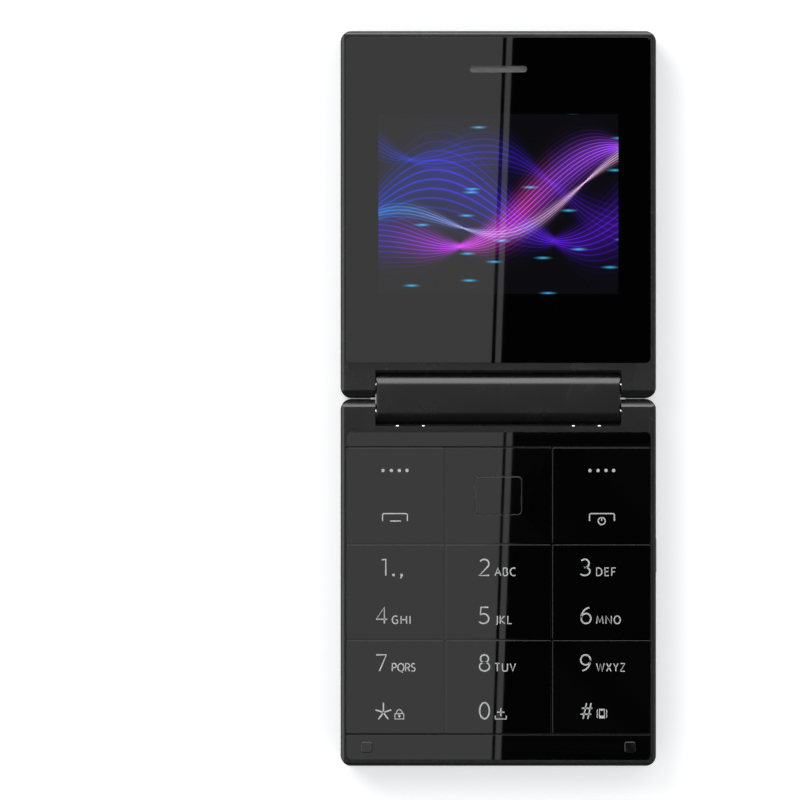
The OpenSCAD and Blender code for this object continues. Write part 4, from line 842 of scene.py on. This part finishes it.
BOWL = [(0, 0), (0, 1), (0.24, 1)] + arc(0.24, 0.73, 0.28, 0.27, 90, -90) + [(0, 0.46)]
GLYPHS = {
    "0": [arc(0.32, 0.5, 0.3, 0.5, 0, 360)],
    "1": [[(0, 0.96), (0.25, 1), (0.25, 0)]],
    "2": [arc(0.3, 0.72, 0.29, 0.28, 150, -35) + [(0, 0), (0.62, 0)]],
    "3": [arc(0.25, 0.75, 0.27, 0.25, 140, -90) + arc(0.24, 0.26, 0.33, 0.26, 90, -140)],
    "4": [[(0.5, 0), (0.5, 1), (0, 0.26), (0.66, 0.26)]],
    "5": [[(0.56, 1), (0.1, 1), (0.06, 0.56)] + arc(0.25, 0.3, 0.33, 0.3, 120, -140)],
    "6": [arc(0.33, 0.31, 0.3, 0.31, 0, 360), arc(0.62, 0.32, 0.6, 0.68, 100, 180)],
    "7": [[(0, 1), (0.62, 1), (0.2, 0)]],
    "8": [arc(0.32, 0.76, 0.25, 0.24, 0, 360), arc(0.32, 0.27, 0.31, 0.27, 0, 360)],
    "9": [arc(0.3, 0.69, 0.3, 0.31, 0, 360), arc(0, 0.68, 0.6, 0.68, -80, 0)],
    "A": [[(0, 0), (0.37, 1), (0.74, 0)], [(0.14, 0.36), (0.6, 0.36)]],
    "B": [[(0, 0), (0, 1), (0.24, 1)] + arc(0.24, 0.77, 0.25, 0.23, 90, -90) + [(0, 0.54)],
          [(0, 0.54), (0.27, 0.54)] + arc(0.27, 0.27, 0.28, 0.27, 90, -90) + [(0, 0)]],
    "C": [arc(0.45, 0.5, 0.45, 0.5, 60, 300)],
    "D": [[(0, 0), (0, 1), (0.25, 1)] + arc(0.25, 0.5, 0.45, 0.5, 90, -90) + [(0, 0)]],
    "E": [[(0.5, 1), (0, 1), (0, 0), (0.5, 0)], [(0, 0.52), (0.44, 0.52)]],
    "F": [[(0.48, 1), (0, 1), (0, 0)], [(0, 0.5), (0.42, 0.5)]],
    "G": [arc(0.42, 0.5, 0.42, 0.5, 55, 300) + [(0.7, 0.1), (0.7, 0.48), (0.45, 0.48)]],
    "H": [[(0, 0), (0, 1)], [(0.7, 0), (0.7, 1)], [(0, 0.52), (0.7, 0.52)]],
    "I": [[(0, 0), (0, 1)]],
    "J": [[(0.3, 1), (0.3, 0.12)] + arc(0.12, 0.1, 0.18, 0.22, 0, -80)],
    "K": [[(0, 0), (0, 1)], [(0.56, 1), (0.02, 0.48), (0.6, 0)]],
    "L": [[(0, 1), (0, 0), (0.48, 0)]],
    "M": [[(0, 0), (0.1, 1), (0.43, 0.2), (0.76, 1), (0.86, 0)]],
    "N": [[(0, 0), (0, 1), (0.7, 0), (0.7, 1)]],
    "O": [arc(0.4, 0.5, 0.4, 0.5, 0, 360)],
    "P": [BOWL],
    "Q": [arc(0.4, 0.5, 0.4, 0.5, 0, 360), [(0.42, 0.05), (0.62, -0.2)]],
    "R": [BOWL, [(0.25, 0.46), (0.55, 0)]],
    "S": [arc(0.24, 0.75, 0.22, 0.25, 40, 270) + arc(0.22, 0.25, 0.24, 0.25, 90, -140)],
    "T": [[(0, 1), (0.6, 1)], [(0.3, 1), (0.3, 0)]],
    "U": [[(0, 1), (0, 0.32)] + arc(0.33, 0.32, 0.33, 0.32, 180, 360) + [(0.66, 1)]],
    "V": [[(0, 1), (0.34, 0), (0.68, 1)]],
    "W": [[(0, 1), (0.25, 0), (0.49, 0.95), (0.73, 0), (0.98, 1)]],
    "X": [[(0, 0), (0.6, 1)], [(0, 1), (0.6, 0)]],
    "Y": [[(0, 1), (0.29, 0.48), (0.58, 1)], [(0.29, 0.48), (0.29, 0)]],
    "Z": [[(0, 1), (0.55, 1), (0, 0), (0.55, 0)]],
}


def glyph_width(sign):
    return max(x for chain in GLYPHS[sign] for x, _ in chain)


def written(text, left, bottom, height, weight, right=None):
    """The strokes of a string whose ink runs from left to right and up from the bottom."""
    scale = height - weight
    taken = sum(glyph_width(sign) for sign in text) * scale
    gap = (right - left - weight - taken) / (len(text) - 1) if right else 0
    strokes = []
    x = left + weight / 2
    for sign in text:
        strokes += [([(x + px * scale, bottom + weight / 2 + py * scale) for px, py in chain], weight)
                    for chain in GLYPHS[sign]]
        x += glyph_width(sign) * scale + gap
    return strokes


print("glyphs:", len(GLYPHS))

# %% [markdown]
# The signs beside the digits are generic ones: a star, a padlock, a space bar, a number sign,
# a shaking phone, and brackets for the soft keys. All places are millimetres from the middle
# of the fold line.

# %% Legends
DIGIT_HIGH, LETTER_HIGH = 3.6, 1.8
DIGIT_INK, LETTER_INK, SIGN_INK = 0.3, 0.23, 0.24
ROW_BOTTOMS = (-36.25, -46.05, -55.75, -65.5)    # bottom of each row of digits
LEFT, CENTRE, RIGHT = (-25.06, -21.76), (-4.03, -0.785), (16.66, 19.92)    # digit, letters


def dialled(digit, column, row, letters="", right=None):
    """A digit and the letters beside it."""
    strokes = written(digit, column[0], ROW_BOTTOMS[row], DIGIT_HIGH, DIGIT_INK)
    if letters:
        strokes += written(letters, column[1], ROW_BOTTOMS[row], LETTER_HIGH, LETTER_INK, right)
    return strokes


def dot(x, y, radius):
    return arc(x, y, radius / 2, radius / 2, 0, 360), radius


def box_chain(left, bottom, right, top):
    return [(left, bottom), (right, bottom), (right, top), (left, top), (left, bottom)]


def star_sign(x, y):
    arms = [(90, 2.0)] + [(angle, 1.7) for angle in (18, 162, 234, 306)]
    return [([(x, y), (x + reach * math.cos(math.radians(a)), y + reach * math.sin(math.radians(a)))], DIGIT_INK)
            for a, reach in arms]


def lock_sign(x, bottom):
    return [(box_chain(x - 0.9, bottom + 0.12, x + 0.9, bottom + 1.2), SIGN_INK),
            (arc(x, bottom + 1.2, 0.58, 0.85, 0, 180), SIGN_INK * 0.8), dot(x, bottom + 0.75, 0.25),
            ([(x, bottom + 0.7), (x, bottom + 0.35)], 0.16)]


def space_sign(x, bottom):
    tray = [(x - 1.12, bottom + 0.8), (x - 1.12, bottom + 0.12), (x + 1.12, bottom + 0.12), (x + 1.12, bottom + 0.8)]
    return [(tray, SIGN_INK), ([(x - 0.77, bottom + 1.5), (x + 0.77, bottom + 1.5)], SIGN_INK),
            ([(x, bottom + 0.68), (x, bottom + 2.32)], SIGN_INK)]


def hash_sign(left, bottom):
    strokes = [([(left + x, bottom + 0.1), (left + x + 0.68, bottom + 3.3)], SIGN_INK + 0.03) for x in (0.6, 1.55)]
    return strokes + [([(left + x, bottom + y), (left + x + 2.15, bottom + y)], SIGN_INK + 0.03)
                      for x, y in ((0.32, 2.25), (0.08, 1.05))]


def shaking_sign(x, bottom):
    body = [(box_chain(x - 0.5, bottom + 0.3, x + 0.5, bottom + 2.1), SIGN_INK),
            ([(x - 0.5, bottom + 0.55), (x + 0.5, bottom + 0.55)], 0.5),
            ([(x - 0.3, bottom + 1.95), (x + 0.3, bottom + 1.95)], 0.3)]
    for side in (-1, 1):
        body.append(([(x + side * (0.88 + 0.14 * (k % 2)), bottom + 0.35 + k * 0.42) for k in range(5)], 0.18))
    return body


def soft_key_sign(left, right, top, bottom):
    corner = 0.35
    return [([(left, bottom), (left, top - corner)] + arc(left + corner, top - corner, corner, corner, 180, 90)
             + arc(right - corner, top - corner, corner, corner, 90, 0) + [(right, bottom)], SIGN_INK)]


digits_low = ROW_BOTTOMS[3]
LEGENDS = {
    "soft_call_key": [dot(x, -14.69, 0.34) for x in (-23.53, -21.82, -20.2, -18.63)]
    + soft_key_sign(-23.62, -18.55, -23.48, -24.99) + [([(-22.1, -24.99), (-19.86, -24.99)], SIGN_INK)],
    "soft_end_key": [dot(x, -14.69, 0.34) for x in (18.69, 20.35, 21.96, 23.53)]
    + soft_key_sign(18.6, 23.68, -23.48, -24.99)
    + [(arc(21.08, -24.99, 0.72, 0.72, 0, 360), SIGN_INK), ([(21.08, -24.2), (21.08, -24.95)], SIGN_INK)],
    "key_1_4": written("1", -23.94, ROW_BOTTOMS[0], DIGIT_HIGH, DIGIT_INK)
    + [([(-21.66, -36.0), (-21.16, -36.0)], 0.46), ([(-19.98, -36.0), (-19.48, -36.0)], 0.46),
       ([(-19.65, -36.1), (-19.95, -36.7)], 0.24)]
    + dialled("4", LEFT, 1, "GHI", -17.9),
    "key_2_5": dialled("2", CENTRE, 0, "ABC", 3.6) + dialled("5", CENTRE, 1, "JKL", 2.8),
    "key_3_6": dialled("3", RIGHT, 0, "DEF", 24.0) + dialled("6", RIGHT, 1, "MNO", 25.0),
    "key_7_star": dialled("7", LEFT, 2, "PQRS", -16.9) + star_sign(-23.45, -64.05) + lock_sign(-20.2, digits_low),
    "key_8_0": dialled("8", CENTRE, 2, "TUV", 3.6) + dialled("0", CENTRE, 3) + space_sign(0.5, digits_low),
    "key_9_hash": dialled("9", RIGHT, 2, "WXYZ", 25.9) + hash_sign(16.7, digits_low + 0.05)
    + shaking_sign(21.13, digits_low),
}
for key, strokes in LEGENDS.items():
    ink_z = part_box(key)[1].z / MM + 0.018
    raised = [([(x, y, ink_z) for x, y in chain], width) for chain, width in strokes]
    draw(key + "_legend", INK_SWEEPER, raised, body_of[key], legend_ink)
print("legends:", sum(len(strokes) for strokes in LEGENDS.values()), "strokes")

# %% [markdown]
# ## Earpiece
#
# A fine wire cloth fills the earpiece slot. Two families of wires cross at a right angle, one
# above the other, and a thin bright rim runs round the slot.

# %% Earpiece cloth and rim
WIRE, WIRE_PITCH = 0.12, 0.3
low, high = (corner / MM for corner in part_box("earpiece_mesh"))
slot_x, slot_y = (low.x + high.x) / 2, (low.y + high.y) / 2
half_w, half_h = (high.x - low.x) / 2 - WIRE, (high.y - low.y) / 2 - WIRE / 2
straight = half_w - half_h               # the slot's ends are half circles


def inside_slot(x, y):
    return math.hypot(max(abs(x) - straight, 0), y) < half_h


def cloth_wires(direction, z):
    """Wires at 45 degrees, each cut to the slot."""
    wires = []
    for k in range(int(-half_w / WIRE_PITCH) - 3, int(half_w / WIRE_PITCH) + 4):
        steps = [t * half_h / 12 for t in range(-12, 13)]
        held = [(k * WIRE_PITCH + direction * t, t) for t in steps if inside_slot(k * WIRE_PITCH + direction * t, t)]
        if len(held) > 1:
            wires.append(([(slot_x + x, slot_y + y, z) for x, y in (held[0], held[-1])], WIRE))
    return wires


rim_x, rim_y = half_w + WIRE, half_h + WIRE / 2
rim_chain = (arc(slot_x + rim_x - rim_y, slot_y, rim_y, rim_y, -90, 90)
             + arc(slot_x - rim_x + rim_y, slot_y, rim_y, rim_y, 90, 270))
rim_chain.append(rim_chain[0])
cloth_z = high.z + 0.1
draw("earpiece_cloth", WIRE_SWEEPER, cloth_wires(1, cloth_z) + cloth_wires(-1, cloth_z + 0.07), "lid",
     mesh_grey)
draw("earpiece_rim", WIRE_SWEEPER, [([(x, y, front_z / MM - 0.1) for x, y in rim_chain], 0.16)], "lid",
     mesh_grey)
print("earpiece", round(2 * rim_x, 2), "by", round(2 * rim_y, 2), "mm")

# %% [markdown]
# ## Leather pads
#
# Each leather panel becomes a pad: a fine grid of rows that follow the panel's outline, with
# rolled edges, slow dents from the padding and small creases. The sides run up to the panel's
# seat, where one face closes the pad.

# %% Pads
PAD_ROLL = 0.42                      # radius of a pad's rolled edge, mm
PAD_STEP = 0.4


def pad_height(x, y, seed):
    """Depth of the pad's surface behind the panel's face."""
    slow = noise.noise(Vector((x / 9, y / 7, seed)))
    crease = noise.noise(Vector((x / 2.2, y / 0.9, seed + 5)))
    return 0.045 + 0.02 * slow + 0.02 * crease


def spread(start, end, step):
    count = max(2, math.ceil((end - start) / step))
    return [start + (end - start) * k / count for k in range(count + 1)]


def pad(name, node, corner_low, corner_high, y_low, y_high, half):
    """A pad over a rounded rectangle, with its own corner radius at each end."""
    top_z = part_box(node)[1].z / MM
    edge_rows = [PAD_ROLL * (1 - math.cos(math.radians(a))) for a in (0, 15, 35, 60, 90)]
    ys = ([y_low + d for d in edge_rows] + spread(y_low + PAD_ROLL, y_high - PAD_ROLL, PAD_STEP)[1:-1]
          + [y_high - d for d in reversed(edge_rows)])

    def half_at(y):
        """Half the width of the outline at this height."""
        for corner, gap in ((corner_low, y - y_low), (corner_high, y_high - y)):
            if gap < corner:
                return half - corner + math.sqrt(max(corner ** 2 - (corner - gap) ** 2, 0))
        return half

    across = [-1 + d / half for d in edge_rows] + [v / (half - PAD_ROLL) * (1 - PAD_ROLL / half) for v in
                                                   spread(PAD_ROLL - half, half - PAD_ROLL, PAD_STEP)[1:-1]]
    across += [1 - d / half for d in reversed(edge_rows)]
    points, faces = [], []
    for y in ys:
        for share in across:
            x = share * half_at(y)
            rim = min(half * (1 - abs(share)), y - y_low, y_high - y)
            roll = PAD_ROLL - math.sqrt(max(PAD_ROLL ** 2 - max(PAD_ROLL - rim, 0) ** 2, 0))
            points.append((x, y, min(pad_height(x, y, len(name)) * min(rim / PAD_ROLL, 1) + roll, top_z - 0.05)))
    columns = len(across)
    for r in range(len(ys) - 1):
        for c in range(columns - 1):
            k = r * columns + c
            faces.append((k, k + columns, k + columns + 1, k + 1))
    border = ([c for c in range(columns)] + [(r + 1) * columns - 1 for r in range(1, len(ys))]
              + [(len(ys) - 1) * columns + c for c in range(columns - 2, -1, -1)]
              + [r * columns for r in range(len(ys) - 2, 0, -1)])
    lifted = len(points)
    points += [(*points[k][:2], top_z - 0.01) for k in border]
    count = len(border)
    faces += [(border[k], border[(k + 1) % count], lifted + (k + 1) % count, lifted + k) for k in range(count)]
    faces.append(list(range(lifted, lifted + count)))
    return points, faces


def make_pad(name, node, parts, body):
    """Joins the parts of a pad in one mesh, which replaces the panel."""
    points, faces = [], []
    for part_points, part_faces in parts:
        faces += [[k + len(points) for k in face] for face in part_faces]
        points += [[v * MM for v in point] for point in part_points]
    mesh = bpy.data.meshes.new(name)
    mesh.from_pydata(points, [], faces)
    work = bmesh.new()
    work.from_mesh(mesh)
    bmesh.ops.remove_doubles(work, verts=work.verts, dist=0.001 * MM)
    bmesh.ops.recalc_face_normals(work, faces=work.faces)
    work.to_mesh(mesh)
    work.free()
    piece = finish_piece(mesh, name, body, leather, smooth=60)
    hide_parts(node)
    return piece


low, high = (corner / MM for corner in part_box("base_leather_panel"))
base_pad = make_pad("base_leather", "base_leather_panel",
                    [pad("base", "base_leather_panel", 1.0, 1.0, low.y, high.y, high.x)], "base")
low, high = (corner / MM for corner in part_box("lid_leather_panel"))
PANEL_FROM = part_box("lid_trim")[0].y / MM + 0.45     # the panel proper starts inside the trim
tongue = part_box("hinge_block_front")[1].x / MM - 0.1
lid_pad = make_pad("lid_leather", "lid_leather_panel",
                   [pad("lid", "lid_leather_panel", 1.9, 0.3, PANEL_FROM, high.y, high.x),
                    pad("tongue", "lid_leather_panel", 0.3, 0.3, low.y, PANEL_FROM + 0.5, tongue)], "lid")
print("pads:", len(base_pad.data.polygons), "and", len(lid_pad.data.polygons), "faces")

# %% [markdown]
# ## Lathed parts
#
# The studs in the leather, the camera's glass and the flash are round, so each is a profile
# turned about its own axis.

# %% Studs, camera and flash
def lathe(name, centre, profile, body, material, around=48, lobes=0.0):
    """Turns a profile of (radius, height) points in millimetres, from the middle outwards."""
    points, faces = [], []
    widest = max(radius for radius, _ in profile)
    for radius, z in profile:
        for k in range(around):
            angle = 2 * math.pi * k / around
            lift = lobes * math.cos(4 * angle) * math.sin(math.pi * radius / widest)
            points.append(((centre[0] + radius * math.cos(angle)) * MM, (centre[1] + radius * math.sin(angle)) * MM,
                           (z + lift) * MM))
    for ring in range(len(profile) - 1):
        for k in range(around):
            a, b = ring * around + k, ring * around + (k + 1) % around
            faces.append((a, a + around, b + around, b))
    mesh = bpy.data.meshes.new(name)
    mesh.from_pydata(points, [], faces)
    work = bmesh.new()
    work.from_mesh(mesh)
    bmesh.ops.remove_doubles(work, verts=work.verts, dist=0.0005 * MM)
    bmesh.ops.holes_fill(work, edges=work.edges)
    bmesh.ops.recalc_face_normals(work, faces=work.faces)
    work.to_mesh(mesh)
    work.free()
    return finish_piece(mesh, name, body, material, smooth=35)


def domed(radius, depth, z, steps=8):
    """A shallow dome that faces down: its middle at z, its edge that much deeper."""
    return [(radius * k / steps, z + depth * (k / steps) ** 2) for k in range(steps + 1)]


for name, y, body in (("lid_stud", 37.8, "lid"), ("base_stud", -38.5, "base")):
    lathe(name, (0, y), domed(0.22, 0.06, 0.002) + [(0.22, 0.3), (0, 0.3)], body, bright_plate)


def coated_glass(name, colour, **sockets):
    """Polished dark glass with a tint of its coating."""
    material, tree, shader, place = start_material(name, **sockets)
    touched = use(tree, HANDLED, Vector=place, Size=1 * MM, Clean=0.02, Smeared=0.04)
    join(tree, touched.outputs["Roughness"], shader, "Roughness")
    join(tree, blend_colours(tree, touched.outputs["Mask"], (*colour, 1), (*[v * 1.3 for v in colour], 1)), shader,
         "Base Color")
    return material


window_glass = coated_glass("window_glass", (0.002, 0.002, 0.003), IOR=1.5)
violet_coat = coated_glass("violet_coat", (0.09, 0.08, 0.2), Metallic=0.7)
pupil_glass = coated_glass("pupil_glass", (0.004, 0.006, 0.012), IOR=1.9)
frosted = moulded("frosted_flash", (0.9, 0.9, 0.86), (0.95, 0.95, 0.92), 0.18, 0.3, 0.5 * MM, 0.03 * MM)

low, high = (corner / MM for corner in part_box("camera_lens"))
eye = ((low.x + high.x) / 2, (low.y + high.y) / 2)
glass_r = (high.x - low.x) / 2
window = lathe("camera_window", eye, [(1.22, low.z + 0.3), (1.22, low.z + 0.06), (glass_r, low.z), (glass_r, high.z),
                                      (0, high.z)], "lid", window_glass, around=64)
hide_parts("camera_lens")
lathe("camera_coat", eye, [(0.74, low.z + 0.3), (0.78, low.z + 0.16), (1.0, low.z + 0.08), (1.2, low.z + 0.14),
                           (1.2, low.z + 0.5), (0.74, low.z + 0.5)], "lid", violet_coat, around=64)
lathe("camera_pupil", eye, domed(0.72, 0.24, low.z + 0.05) + [(0.72, low.z + 0.55), (0, low.z + 0.55)], "lid",
      pupil_glass, around=64)
low, high = (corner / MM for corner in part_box("flash_lens"))
flash = ((low.x + high.x) / 2, (low.y + high.y) / 2)
face = [(1.75 * k / 8, low.z + 0.06 + 0.1 * (k / 8) ** 2) for k in range(9)]
flash_piece = lathe("flash_window", flash, face + [(1.9, low.z + 0.25), (1.9, high.z - 0.5), (0, high.z - 0.5)], "lid",
                    frosted, around=64, lobes=0.05)
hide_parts("flash_lens")

# %% Light pips
PIP_PLACES = (-20.6, -15.3, 15.3, 20.6)
pip_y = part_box("hinge_block_front")[0].y / MM - 0.4
pips = [([(x - 0.25, pip_y - 0.02, front_z / MM - 0.28), (x + 0.25, pip_y - 0.02, front_z / MM - 0.28)], 0.3)
        for x in PIP_PLACES]
draw("light_pips", WIRE_SWEEPER, pips, "base", brushed_steel)
print("pips at", PIP_PLACES)
